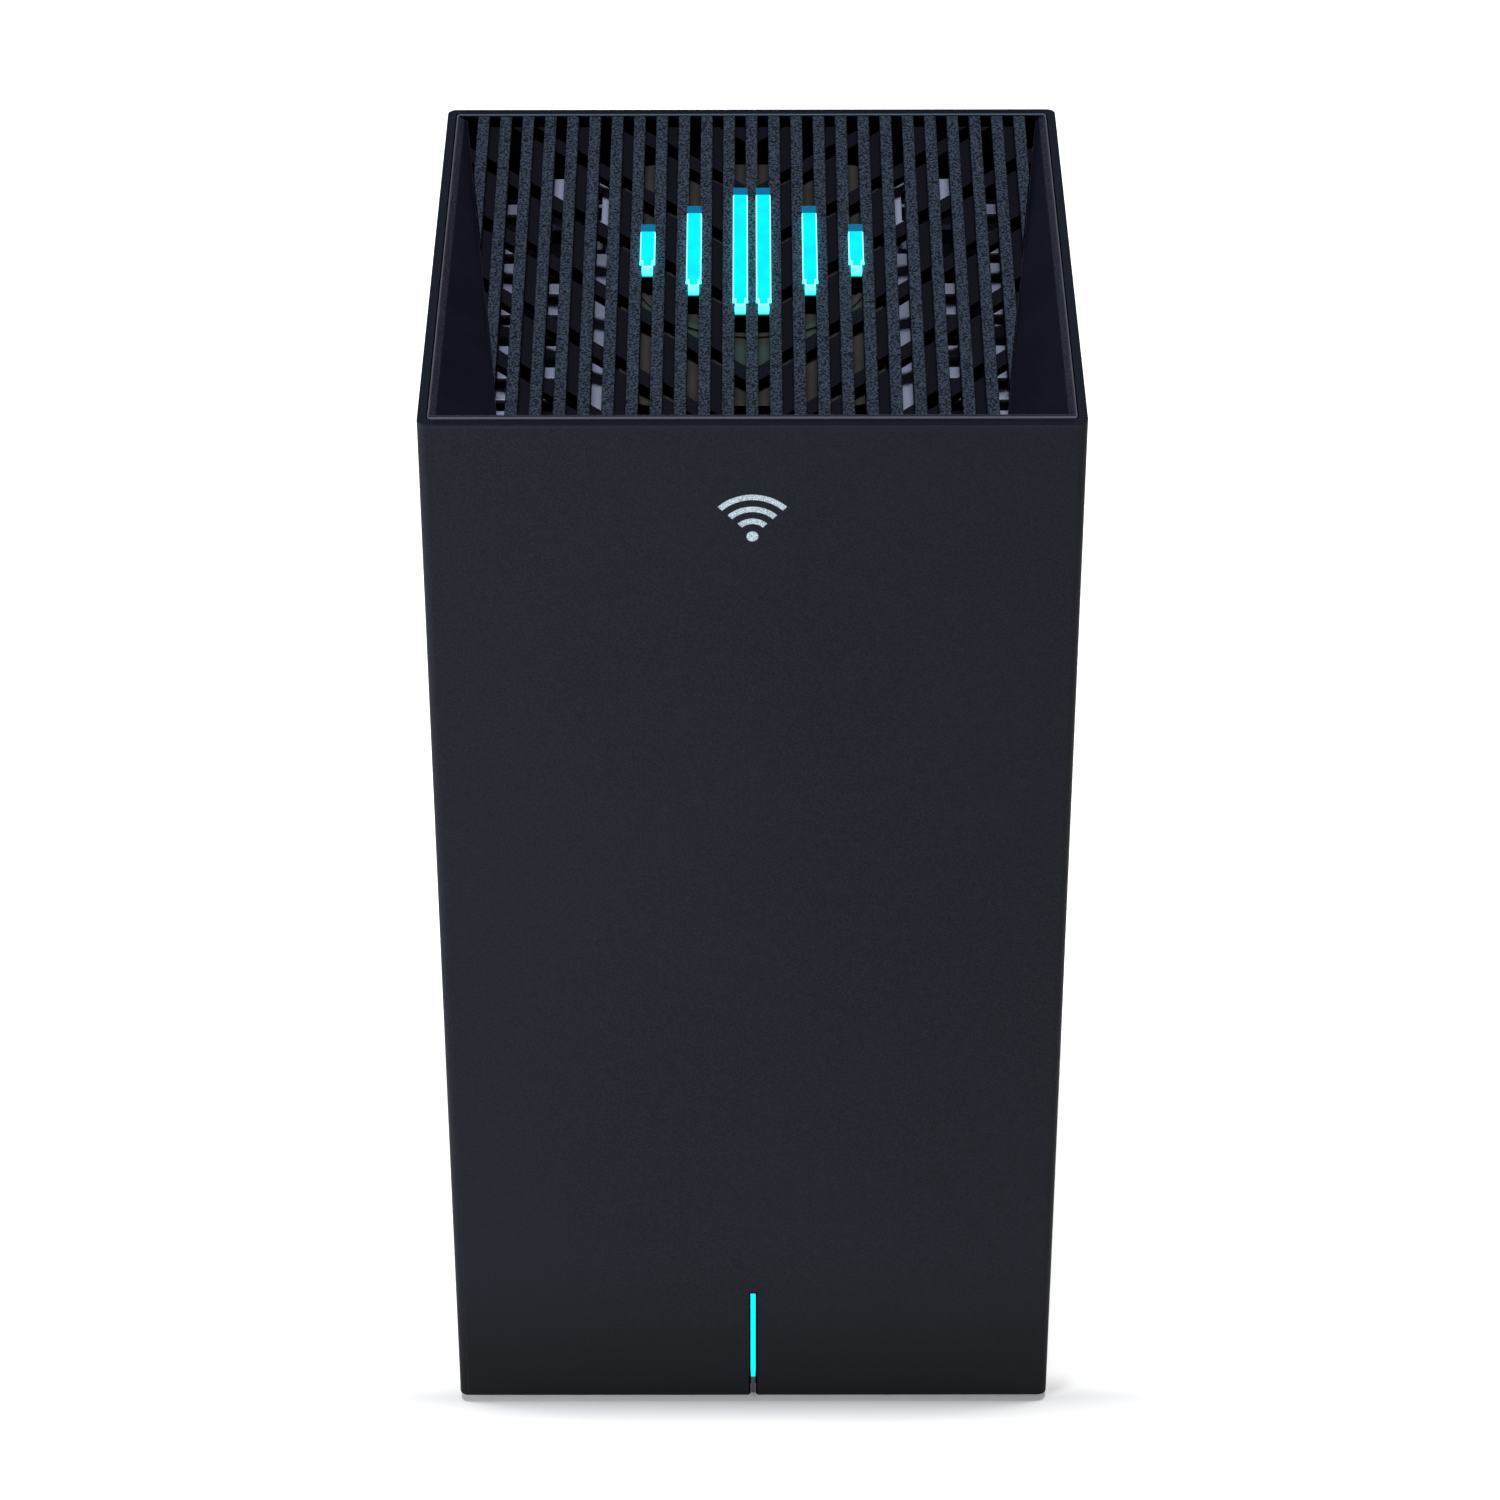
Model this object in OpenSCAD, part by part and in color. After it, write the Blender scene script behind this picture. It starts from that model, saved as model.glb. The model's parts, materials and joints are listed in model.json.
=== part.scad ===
/* [Tower] */
// Width and depth of the square tower
body_w = 104; // [102:1:108]
// Height of the outer sleeve, without the feet
sleeve_h = 201; // [198:1:206]
// Wall thickness of the outer sleeve
wall = 1.4; // [1.2:0.1:1.6]
// Radius of the sleeve's upright corners
corner_r = 1.5; // [1.2:0.1:2.4]
// Height of the rubber feet that shows below the sleeve
foot_show = 1.5; // [1:0.5:2.5]

/* [Grille] */
// Angle at which the grille slopes down towards the front
slope = 4.6; // [3.6:0.1:5]
// Width of one slat
slat_w = 2; // [1.8:0.1:2.1]
// Depth of a slat above the lattice
slat_rise = 2.2; // [2:0.1:2.4]
// Thickness of the lattice
lattice_t = 1.5; // [1.2:0.1:1.6]
// Distance between chevron bands along the depth
band_pitch = 17.6; // [16:0.1:19]
// Length of a chevron band along the depth
band_len = 4; // [3.5:0.1:4.5]

/* [Light] */
// Length of the middle pair of light bars
bar_len = 33; // [28:1:34]
// Width of a light bar's head
bar_w = 2.5; // [2.4:0.1:2.6]
// Height of a light bar's head above the slats
bar_rise = 0.9; // [0.6:0.1:1.2]
// Height of the status light above the sleeve's bottom edge
status_h = 23.7; // [20:0.1:26]
// Width of the status light
status_w = 0.9; // [0.8:0.1:1.4]

/* [Heat sinks] */
// Number of fins on each side
fin_count = 13; // [11:1:13]
// Distance between fins
fin_pitch = 6.85; // [6.7:0.01:6.85]
// Length of a fin's top flange
flange_len = 3.4; // [3:0.1:3.8]
// Thickness of a fin
fin_t = 1.2; // [0.8:0.1:1.4]

/* [Hidden] */
$fn = 64;

eps = 0.01;
cut = 1;                              // how far a cutting shape runs past a face
gap = 0.1;                            // assembly gap between fixed pieces
slide_gap = 0.25;                     // gap around a moving button
plunger_gap = 0.15;                   // gap around the reset plunger

// Sleeve
half_w = body_w / 2;
inner_half = half_w - wall;
inner_r = 0.6;
sleeve_z = foot_show;
rim_z = sleeve_z + sleeve_h;
boss_w = 8.1;
boss_h = 11.5;
boss_skin = 1;                        // material above a boss's bore
boss_at = inner_half - boss_w / 2;

// Bezel
skirt_half = inner_half - 0.2;
skirt_h = 16.5;
skirt_edge = 0.35;                    // width of the skirt's upper edge beside a facet
skirt_x = skirt_half - 0.75;          // inner faces of the skirt
skirt_front = skirt_half - 1.15;
skirt_rear = skirt_half - 0.4;
ledge_z = rim_z - skirt_h;
ledge_h = 2;
ledge_w = 1.5;
facet_z = rim_z - 0.3;                // height at which a facet leaves the skirt
facet_rear_x = skirt_x - 1;           // where it meets the grille, at the rear and at the front
facet_front_x = 0.377 * body_w;
facet_t = 2;

// Grille
grille_drop = 0.1;                    // slat tops below the rim at the rear
grille_x = skirt_x - gap;
grille_front = skirt_front - gap;
grille_rear = skirt_rear - gap;
slat_count = 25;
slat_pitch = (2 * inner_half - 2) / (slat_count + 1);
slot_w = slat_pitch - slat_w;
front_drop = (skirt_front + skirt_rear) * tan(slope) + grille_drop;
facet_x = skirt_half - skirt_edge;
facet_fall = (facet_z - rim_z + front_drop) / (facet_x - facet_front_x);
band_start = -4.7;
grille_bottom = -(slat_rise + lattice_t);

// Light bars, in the grille's own sloping frame
bar_gaps = [0, 2, 4];
bar_mid_y = 9.7;
bar_stem_w = slot_w - 0.1;
bar_tail = 1.6;
bar_bottom = -9;
box_w = 43;
box_rear_y = 41.5;
box_front_y = -29;
box_top = grille_bottom - 0.8;
box_depth = 6;
box_t = 1.2;
box_r = 6;
ring_r = 20;
ring_w = 1;
ring_h = 0.4;
led_board_t = 1.2;
led_h = 0.8;
led_w = 2;
led_len = 2.6;
led_step = 7;
led_inset = 2;
diffuser_t = 0.6;
led_board_top = box_top - box_depth;

// Fins and heat sinks, drawn for the right-hand side
fin_first_y = 42.1 - flange_len / 2;
fin_end_x = 45;
flange_t = 0.8;
sink_x = slat_pitch * 6.5 - 1.6;
sink_t = 3;
sink_front_y = fin_first_y - (fin_count - 1) * fin_pitch - flange_len / 2;
sink_rear_y = fin_first_y + flange_len / 2;
sink_bottom_z = 24;
sink_top_z = rim_z - 13;
post_r = 3.5;
post_gaps = [2.5, 9.5];               // fin gaps that hold the screw posts
post_zs = [36, 160];
screw_r = 1.5;
screw_hole_r = 1.7;
thread_r = 1.55;
head_r = 2.6;
head_h = 2.2;
head_seat = 1.6;                      // height of the flat heads that sink into the base
through_screw_end = 10;
base_screw_len = 9;
chassis_screw_len = 5.5;
board_screw_len = 5.1;
bracket_top = rim_z - 7.5;
bracket_t = 1;
bracket_x = sink_x + 0.5;
bracket_end_x = 34;
bracket_front_y = 24.7;
bracket_rear_y = 40.9;
bracket_rim = 1.6;

// Main board, upright across the middle
board_t = 1.6;
board_front_y = -40;
board_rear_y = 46;
board_bottom_z = 10;
board_top_z = 180;
board_x = board_t / 2;
cpu_w = 25;
cpu_t = 1.8;
cpu_y = 4;
cpu_z = 128;
memory_ys = [-20, 24];
memory_w = 9;
memory_h = 14;
memory_t = 1.1;
inductor_zs = [52, 62, 72];
inductor_y = -10.5;
inductor_w = 7;
inductor_t = 4;
capacitor_zs = [54, 66, 78];
capacitor_y = 5;
capacitor_r = 4;
capacitor_h = 10;
pad_t = 1;
pad_half = cpu_w / 2 - 1;
shield_w = 40;
shield_h = 50;
shield_t = 3;
shield_skin = 0.3;
shield_y = -0.7;
shield_zs = [95, 146];
ribbon_y = 12;
ribbon_w = 8;
ribbon_t = 0.3;
ribbon_x = 6;
ribbon_top_z = 185.6;
ribbon_bottom_z = 171;
ribbon_bend_r = 3;
socket_side = 1;                      // how far a ribbon socket stands past the ribbon
socket_drop = 1.5;                    // how far the board's socket reaches below the ribbon's bend
socket_rise = 1;
socket_near = 1;                      // reach of the lamp board's socket to either side of the ribbon
socket_far = 1.3;
socket_h = 1.2;

// Chassis
chassis_half = 22;
chassis_t = 2;
chassis_post_w = 5;
chassis_front_y = -46;
chassis_rear_y = 44;
chassis_bottom_z = 6.5;
chassis_top_z = 182;
chassis_screw_x = 16;
chassis_screw_y = 34;
chassis_boss_h = 6;
chassis_boss_r = 3.2;
chassis_rim = 9;                      // width of the upper and lower frames
tab_w = 9;
tab_t = 4;                            // thickness of a board tab, and its reach past the screw
fork_t = 2.5;                         // arm that steadies the board's upper corner
fork_grip = 3;
fork_len = 9.5;
tab_zs = [22, 168];
board_screw_y = board_front_y + 5;

// Rear panel and its ports
panel_t = 2;
panel_half = 21.5;
window_half = 18;
window_z = 22;
window_h = 80;
panel_margin = 3;
panel_y = inner_half - gap;
port_r = 0.15;                        // gap round a port in the panel
jack_w = 16.2;
jack_h = 13.4;
jack_d = 21.3;
jack_mouth_w = 12;
jack_mouth_h = 8.2;
jack_latch_w = 6.6;
jack_latch_h = 2.4;
jack_floor = 1.2;
jack_mouth_d = 12.5;
jack_zs = [36, 56.5, 77];
contact_count = 8;
contact_pitch = 1.02;
contact_t = 0.4;
contact_rise = 0.9;
contact_len = 8.5;
usb_z = 79;
usb_w = 14.4;
usb_h = 7;
usb_d = 14;
usb_t = 0.9;
usb_back = 1;
usb_mouth_h = 5.1;
usb_tongue_w = 11.1;
usb_tongue_t = 1.8;
usb_tongue_x = 0.4;                   // gap between the tongue and the mouth's wall
usb_tongue_y = 1.4;                   // how far the tongue ends inside the mouth
dc_z = 33.5;
dc_w = 9;
dc_h = 11;
dc_d = 14.3;
dc_bore_r = 3.2;
dc_bore_d = 9.5;
dc_pin_r = 1.05;
dc_pin_y = 1;                         // how far the pin's round tip starts inside the bore
button_x = -7.5;
button_face = 1.2;                    // how far a cap stands out of the panel
power_z = 47;
power_r = 3.6;
power_travel = 1.8;
pairing_z = 60;
pairing_r = 2.6;
pairing_travel = 0.7;
reset_z = 68.5;
reset_r = 0.9;
reset_hole_r = 1.2;
reset_travel = 0.4;
reset_rise = 1.2;                     // how far the reset plunger stands out of its switch
reset_grip = 2;                       // how deep it sits in its switch
reset_front_y = panel_y - 5.8;
reset_w = 6;
reset_d = 5;
button_flange = 0.8;
collar_w = 0.9;                       // how far a collar stands out round its cap
collar_space = 0.3;                   // room behind a pressed collar
stem_grip = 1.5;                      // how deep a stem sits in its switch
bore_spare = 1.8;
flange_space = 0.2;
stem_r = 1.4;
switch_w = 8;
switch_d = 7;

// Antennas
antenna_w = 14;
antenna_h = 70;
antenna_x = 36;
antenna_z = 134;
antenna_t = 0.8;
antenna_slots = [[2, 6], [-2, 18]];   // X and Z of the slots in an antenna's copper
antenna_slot_h = 2;
carrier_w = 17;
carrier_h = antenna_h + 6;
carrier_t = 1.4;
cable_r = 0.65;
cable_x = 12;
cable_front_z = 108;
cable_rear_z = 122;
plug_r = 1.3;
plug_h = 1.4;
plug_y = 34;
peg_len = 1.2;                        // pegs that hold a carrier off the end fin
peg_w = 10.2;
peg_h = 3;
peg_z = 28;
cable_out = peg_len + carrier_t + antenna_t / 2 + 0.5;
front_cable_y = sink_front_y - cable_out;
rear_cable_y = sink_rear_y + cable_out;

// Base
base_t = 3;
base_half = inner_half - gap;
base_top_z = sleeve_z + base_t;
foot_r = 6;
foot_at = 36;
foot_seat = 0.6;
foot_edge = 0.6;                      // chamfer round a foot's sole
vent_count = 11;
vent_pitch = 5;
vent_w = 2.2;
vent_len = 44;
label_w = 26;
label_d = 11;
label_t = 0.2;
label_y = 42.5;

// Mark and status light
mark_z = rim_z - 17.6;
mark_t = 0.5;
mark_dot_r = 0.95;
mark_rs = [2.8, 5, 7.2];
mark_w = 1.05;
mark_angle = 45;
mark_reach = 12;
mark_gap = 0.02;                      // clearance of the inlay in its pocket
mark_dot_z = mark_z - mark_rs[1] + 2;
guide_flange_w = 5;
guide_flange_t = 1.5;
guide_foot = 0.5;
guide_rise = 2;                       // how far the guide's flange runs above the light
notch_flare = 0.4;
status_board_w = 10;
status_board_h = 20;
status_board_t = 1;
status_led_zs = [4, 10, 16];
status_led_half = 1;
status_led_t = 0.9;
status_board_y = -inner_half + guide_flange_t + 1;

function fin_y(i) = fin_first_y - i * fin_pitch;
function gap_x(j) = (j + 0.5) * slat_pitch;
function bar_length(j) = bar_len * (1 - j / 6);

module rounded_square(w, d, r) {
    union() {
        square([w - 2 * r, d], center = true);
        square([w, d - 2 * r], center = true);
        for (sx = [-1, 1], sy = [-1, 1])
            translate([sx * (w / 2 - r), sy * (d / 2 - r)]) circle(r);
    }
}

// A box given by its lowest corner and its highest corner
module box(lo, hi) {
    translate(lo) cube(hi - lo);
}

// Puts a shape drawn on the flat grille into the sloping one
module on_grille() {
    translate([0, skirt_rear, rim_z - grille_drop])
        rotate([slope, 0, 0])
            translate([0, -skirt_rear, 0]) children();
}

module both_sides() {
    children();
    mirror([1, 0, 0]) children();
}

// A cylinder along X, from x0 to x1
module rod_x(x0, x1, y, z, r) {
    translate([x0, y, z]) rotate([0, 90, 0]) cylinder(r = r, h = x1 - x0);
}

// A cylinder along Y, from y0 to y1
module rod_y(x, y0, y1, z, r) {
    translate([x, y0, z]) rotate([-90, 0, 0]) cylinder(r = r, h = y1 - y0);
}

// Screw that points up, with its head's top face at z = 0
module screw(r, h, length) {
    translate([0, 0, -h]) cylinder(r = r, h = h);
    cylinder(r = screw_r, h = length);
}

module outer_sleeve() {
    color("#2c2f38") difference() {
        union() {
            translate([0, 0, sleeve_z]) linear_extrude(sleeve_h) difference() {
                rounded_square(body_w, body_w, corner_r);
                rounded_square(2 * inner_half, 2 * inner_half, inner_r);
            }
            translate([0, 0, ledge_z - ledge_h]) linear_extrude(ledge_h) difference() {
                square(2 * inner_half + wall, center = true);
                square(2 * (inner_half - ledge_w), center = true);
            }
            for (sx = [-1, 1], sy = [-1, 1])
                translate([sx, sy, 0] * (boss_at + wall / 4) + [0, 0, base_top_z + boss_h / 2])
                    cube([boss_w + wall / 2, boss_w + wall / 2, boss_h], center = true);
        }
        for (sx = [-1, 1], sy = [-1, 1])
            translate([sx * boss_at, sy * boss_at, base_top_z - cut])
                cylinder(r = thread_r, h = boss_h - boss_skin);
        box([-status_w / 2, -half_w - cut, sleeve_z - cut],
            [status_w / 2, -inner_half + eps, sleeve_z + status_h]);
        translate([0, -inner_half + eps, sleeve_z]) rotate([90, 0, 0]) linear_extrude(wall + cut)
            polygon([
                [-status_w / 2 - notch_flare, 0],
                [status_w / 2 + notch_flare, 0],
                [status_w / 2, notch_flare],
                [-status_w / 2, notch_flare]
            ]);
        box([-window_half, inner_half - eps, window_z],
            [window_half, half_w + cut, window_z + window_h]);
        translate([0, -half_w - eps, 0]) mark(mark_t + eps, 0);
    }
}

// The area outside the grille's edge on the right, in plan, moved outwards by spread
module facet_plan(spread) {
    polygon([
        [facet_rear_x + spread, skirt_rear],
        [facet_front_x + spread, -skirt_front],
        [facet_front_x + spread, -skirt_front - cut],
        [half_w + cut, -skirt_front - cut],
        [half_w + cut, skirt_rear + cut],
        [facet_rear_x + spread, skirt_rear + cut]
    ]);
}

// Sloping sheet from the skirt down to the grille's front corner, in X and Z
module facet_section() {
    low_x = facet_front_x - 1;
    low_z = facet_z - (facet_x - low_x) * facet_fall;
    polygon([
        [facet_x + gap, facet_z],
        [facet_x, facet_z],
        [low_x, low_z],
        [low_x, low_z - facet_t],
        [skirt_x, facet_z - facet_t - 1],
        [facet_x + gap, facet_z - facet_t - 1]
    ]);
}

// Space above a facet, which its skirt leaves free, in X and Z
module facet_space() {
    polygon([
        [facet_x, rim_z + cut],
        [facet_x, facet_z],
        [skirt_x - cut, facet_z - (facet_x - skirt_x + cut) * facet_fall],
        [skirt_x - cut, rim_z + cut]
    ]);
}

module skirt_plan() {
    difference() {
        rounded_square(2 * skirt_half, 2 * skirt_half, inner_r);
        translate([-skirt_x, -skirt_front]) square([2 * skirt_x, skirt_front + skirt_rear]);
    }
}

module top_bezel() {
    color("#25272f") union() {
        difference() {
            translate([0, 0, ledge_z]) linear_extrude(skirt_h) skirt_plan();
            both_sides() translate([0, skirt_rear, 0]) rotate([90, 0, 0])
                linear_extrude(skirt_front + skirt_rear) facet_space();
        }
        both_sides() intersection() {
            translate([0, skirt_rear + eps, 0]) rotate([90, 0, 0])
                linear_extrude(skirt_front + skirt_rear + 2 * eps) facet_section();
            translate([0, 0, ledge_z]) linear_extrude(2 * skirt_h) facet_plan(0);
        }
    }
}

// Openings of the lattice in the gap at x: bands of 45 degrees, shifted by their distance from the middle
module lattice_openings(x, first, length) {
    for (n = [-7 : 4]) {
        y = first + abs(x) + n * band_pitch;
        rise = slot_w / 2 * sign(x);
        polygon([
            [x - slot_w / 2, y - rise],
            [x + slot_w / 2, y + rise],
            [x + slot_w / 2, y + rise - length],
            [x - slot_w / 2, y - rise - length]
        ]);
    }
}

module lattice_plan() {
    difference() {
        translate([-grille_x, -grille_front - cut])
            square([2 * grille_x, grille_front + grille_rear + 2 * cut]);
        for (j = [0 : slat_count / 2], side = [-1, 1])
            if (j % 2 == 0)
                lattice_openings(side * gap_x(j), band_start - band_len, band_pitch - band_len);
            else
                lattice_openings(side * gap_x(j), band_start, band_len);
        for (j = bar_gaps, side = [-1, 1])
            translate([side * gap_x(j), bar_mid_y - bar_tail / 2])
                square([slot_w, bar_length(j) + bar_tail + 2 * gap], center = true);
    }
}

module top_grille() {
    color("#3b3e47") difference() {
        intersection() {
            on_grille() union() {
                translate([0, 0, grille_bottom]) linear_extrude(lattice_t) lattice_plan();
                for (k = [-(slat_count - 1) / 2 : (slat_count - 1) / 2])
                    box([k * slat_pitch - slat_w / 2, -grille_front - cut, grille_bottom],
                        [k * slat_pitch + slat_w / 2, grille_rear + cut, 0]);
            }
            box([-grille_x, -grille_front, ledge_z], [grille_x, grille_rear, rim_z + cut]);
        }
        both_sides() translate([0, 0, ledge_z]) linear_extrude(2 * skirt_h) facet_plan(-gap);
    }
}

module bar_stems(bottom, top, spread) {
    for (j = bar_gaps, side = [-1, 1])
        translate([side * gap_x(j), bar_mid_y - bar_tail / 2, (bottom + top) / 2])
            cube([bar_stem_w, bar_length(j) + bar_tail, top - bottom] + [2, 2, 0] * spread, center = true);
}

module light_bars() {
    color("#19f0f5") on_grille() union() {
        bar_stems(bar_bottom, bar_rise, 0);
        for (j = bar_gaps, side = [-1, 1])
            translate([side * gap_x(j), bar_mid_y, (gap + bar_rise) / 2])
                cube([bar_w, bar_length(j), bar_rise - gap], center = true);
    }
}

module box_plan(inset) {
    translate([0, (box_rear_y + box_front_y) / 2])
        rounded_square(box_w - 2 * inset, box_rear_y - box_front_y - 2 * inset, box_r - inset);
}

module light_box() {
    color("#6e6a66") on_grille() difference() {
        union() {
            translate([0, 0, led_board_top]) linear_extrude(box_depth) box_plan(0);
            translate([0, bar_mid_y, box_top]) linear_extrude(ring_h) difference() {
                circle(ring_r);
                circle(ring_r - ring_w);
            }
        }
        translate([0, 0, led_board_top - cut]) linear_extrude(box_depth + cut - box_t) box_plan(box_t);
        bar_stems(led_board_top, 0, gap);
    }
}

module light_diffuser() {
    color("#dfe6ea") on_grille()
        translate([0, 0, bar_bottom - diffuser_t - eps]) linear_extrude(diffuser_t) box_plan(box_t + gap);
}

module led_board() {
    color("#1c3f33") on_grille()
        translate([0, 0, led_board_top - led_board_t]) linear_extrude(led_board_t) box_plan(0);
}

module bar_leds() {
    color("#f4f0d8") on_grille()
        for (j = bar_gaps, side = [-1, 1])
            for (y = [-bar_length(j) / 2 + led_inset : led_step : bar_length(j) / 2 - led_inset])
                translate([side * gap_x(j), bar_mid_y + y, led_board_top + led_h / 2])
                    cube([led_w, led_len, led_h], center = true);
}

module led_ribbon() {
    color("#d8d8d2") translate([0, ribbon_y + ribbon_w / 2, 0]) rotate([90, 0, 0])
        linear_extrude(ribbon_w) union() {
            translate([ribbon_x, ribbon_bottom_z + ribbon_bend_r])
                square([ribbon_t, ribbon_top_z - ribbon_bottom_z - ribbon_bend_r]);
            intersection() {
                translate([ribbon_x - ribbon_bend_r, ribbon_bottom_z + ribbon_bend_r]) difference() {
                    circle(ribbon_bend_r + ribbon_t);
                    circle(ribbon_bend_r);
                }
                translate([ribbon_x - ribbon_bend_r, ribbon_bottom_z - ribbon_t])
                    square([ribbon_bend_r + ribbon_t, ribbon_bend_r + ribbon_t]);
            }
        }
}

module ribbon_sockets() {
    color("#e8e4da") {
        box([board_x, ribbon_y - ribbon_w / 2 - socket_side, ribbon_bottom_z - socket_drop],
            [ribbon_x - ribbon_bend_r, ribbon_y + ribbon_w / 2 + socket_side, ribbon_bottom_z + socket_rise]);
        box([ribbon_x - socket_near, ribbon_y - ribbon_w / 2 - socket_side, ribbon_top_z],
            [ribbon_x + socket_far, ribbon_y + ribbon_w / 2 + socket_side, ribbon_top_z + socket_h]);
    }
}

// A dot under arcs that open upwards, standing on the front face
module mark_plan(spread) {
    circle(mark_dot_r + spread);
    intersection() {
        for (r = mark_rs) difference() {
            circle(r + mark_w / 2 + spread);
            circle(r - mark_w / 2 - spread);
        }
        polygon([
            [0, 0],
            [-mark_reach, mark_reach / tan(mark_angle)],
            [mark_reach, mark_reach / tan(mark_angle)]
        ]);
    }
}

module mark(depth, spread) {
    translate([0, depth, mark_dot_z]) rotate([90, 0, 0])
        linear_extrude(depth) mark_plan(spread);
}

module front_emblem() {
    color("#d9dbdd") translate([0, -half_w, 0]) mark(mark_t, -mark_gap);
}

module status_light_guide() {
    color("#10e6f0") union() {
        box([-status_w / 2 + gap / 2, -half_w, sleeve_z + guide_foot],
            [status_w / 2 - gap / 2, -inner_half + guide_flange_t, sleeve_z + status_h - gap]);
        box([-guide_flange_w / 2, -inner_half, base_top_z],
            [guide_flange_w / 2, -inner_half + guide_flange_t, sleeve_z + status_h + guide_rise]);
    }
}

module status_led_board() {
    color("#1c3f33")
        box([-status_board_w / 2, status_board_y, base_top_z],
            [status_board_w / 2, status_board_y + status_board_t, base_top_z + status_board_h]);
}

module status_led() {
    color("#f4f0d8") for (z = status_led_zs)
        box([-status_led_half, status_board_y - status_led_t, base_top_z + z - status_led_half],
            [status_led_half, status_board_y, base_top_z + z + status_led_half]);
}

module chassis_ring(z) {
    difference() {
        box([-chassis_half, chassis_front_y, z], [chassis_half, chassis_rear_y, z + chassis_t]);
        box([-chassis_half + chassis_rim, chassis_front_y + chassis_rim, z - cut],
            [chassis_half - chassis_rim, chassis_rear_y - chassis_rim, z + chassis_t + cut]);
    }
}

module inner_chassis() {
    color("#17181c") difference() {
        union() {
            chassis_ring(chassis_bottom_z);
            chassis_ring(chassis_top_z);
            for (sx = [-1, 1]) {
                x = sx * (chassis_half - chassis_post_w / 2) - chassis_post_w / 2;
                box([x, chassis_front_y, chassis_bottom_z],
                    [x + chassis_post_w, chassis_front_y + chassis_t, chassis_top_z + chassis_t]);
                box([x, chassis_rear_y - chassis_t, window_z + window_h + panel_margin + 1],
                    [x + chassis_post_w, chassis_rear_y, chassis_top_z + chassis_t]);
                for (y = [-1, 1])
                    translate([sx * chassis_screw_x, y * chassis_screw_y, base_top_z])
                        cylinder(r = chassis_boss_r, h = chassis_boss_h);
            }
            for (z = tab_zs)
                box([-chassis_half, chassis_front_y, z - tab_w / 2],
                    [chassis_half, chassis_front_y + chassis_t, z + tab_w / 2]);
            for (z = tab_zs)
                box([board_x, chassis_front_y, z - tab_w / 2],
                    [board_x + tab_t, board_screw_y + tab_t, z + tab_w / 2]);
            box([-board_x - fork_t, board_front_y, board_top_z - fork_grip],
                [-board_x, chassis_front_y + fork_len, chassis_top_z + eps]);
        }
        for (sx = [-1, 1], y = [-1, 1])
            translate([sx * chassis_screw_x, y * chassis_screw_y, base_top_z - cut])
                cylinder(r = thread_r, h = chassis_boss_h);
        for (z = tab_zs)
            rod_x(board_x - cut, board_x + tab_t + cut, board_screw_y, z, thread_r);
    }
}

module main_board() {
    color("#16402f") difference() {
        box([-board_x, board_front_y, board_bottom_z], [board_x, board_rear_y, board_top_z]);
        for (i = post_gaps, z = post_zs)
            rod_x(-board_x - cut, board_x + cut, fin_y(i), z, screw_hole_r);
        for (z = tab_zs)
            rod_x(-board_x - cut, board_x + cut, board_screw_y, z, screw_hole_r);
    }
}

module processor() {
    color("#3a3c40")
        box([board_x, cpu_y - cpu_w / 2, cpu_z - cpu_w / 2],
            [board_x + cpu_t, cpu_y + cpu_w / 2, cpu_z + cpu_w / 2]);
}

module memory_chips() {
    color("#1d1e20") for (y = memory_ys)
        box([board_x, y - memory_w / 2, cpu_z - memory_h / 2],
            [board_x + memory_t, y + memory_w / 2, cpu_z + memory_h / 2]);
}

module radio_shields() {
    color("#b4b7ba") for (z = shield_zs)
        translate([-board_x - shield_t, shield_y - shield_w / 2, z - shield_h / 2]) difference() {
            cube([shield_t, shield_w, shield_h]);
            translate([1, 1, 1] * shield_skin)
                cube([shield_t, shield_w - 2 * shield_skin, shield_h - 2 * shield_skin]);
        }
}

module power_inductors() {
    color("#4c4f54") for (z = inductor_zs)
        box([board_x, inductor_y - inductor_w / 2, z - inductor_w / 2],
            [board_x + inductor_t, inductor_y + inductor_w / 2, z + inductor_w / 2]);
}

module capacitors() {
    color("#8d9299") for (z = capacitor_zs)
        rod_x(board_x, board_x + capacitor_h, capacitor_y, z, capacitor_r);
}

module thermal_pads() {
    color("#8fa9c9") {
        box([board_x + cpu_t, cpu_y - pad_half, cpu_z - pad_half],
            [board_x + cpu_t + pad_t, cpu_y + pad_half, cpu_z + pad_half]);
        for (z = shield_zs)
            box([-board_x - shield_t - pad_t, shield_y - pad_half, z - pad_half],
                [-board_x - shield_t, shield_y + pad_half, z + pad_half]);
    }
}

// Base plate, flanged fins and screw posts of one heat sink, on the right-hand side
module sink_body(bore_r) {
    difference() {
        union() {
            box([sink_x, sink_front_y, sink_bottom_z], [sink_x + sink_t, sink_rear_y, sink_top_z]);
            for (i = [0 : fin_count - 1]) {
                box([sink_x + sink_t - eps, fin_y(i) - fin_t / 2, sink_bottom_z],
                    [fin_end_x, fin_y(i) + fin_t / 2, sink_top_z]);
                box([sink_x + sink_t - eps, fin_y(i) - flange_len / 2, sink_top_z - flange_t],
                    [fin_end_x, fin_y(i) + flange_len / 2, sink_top_z]);
            }
            for (i = post_gaps, z = post_zs)
                rod_x(board_x, sink_x + eps, fin_y(i), z, post_r);
        }
        for (i = post_gaps, z = post_zs)
            rod_x(board_x - cut, bore_r == thread_r ? through_screw_end + 1 : sink_x + sink_t + cut,
                fin_y(i), z, bore_r);
    }
}

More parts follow.
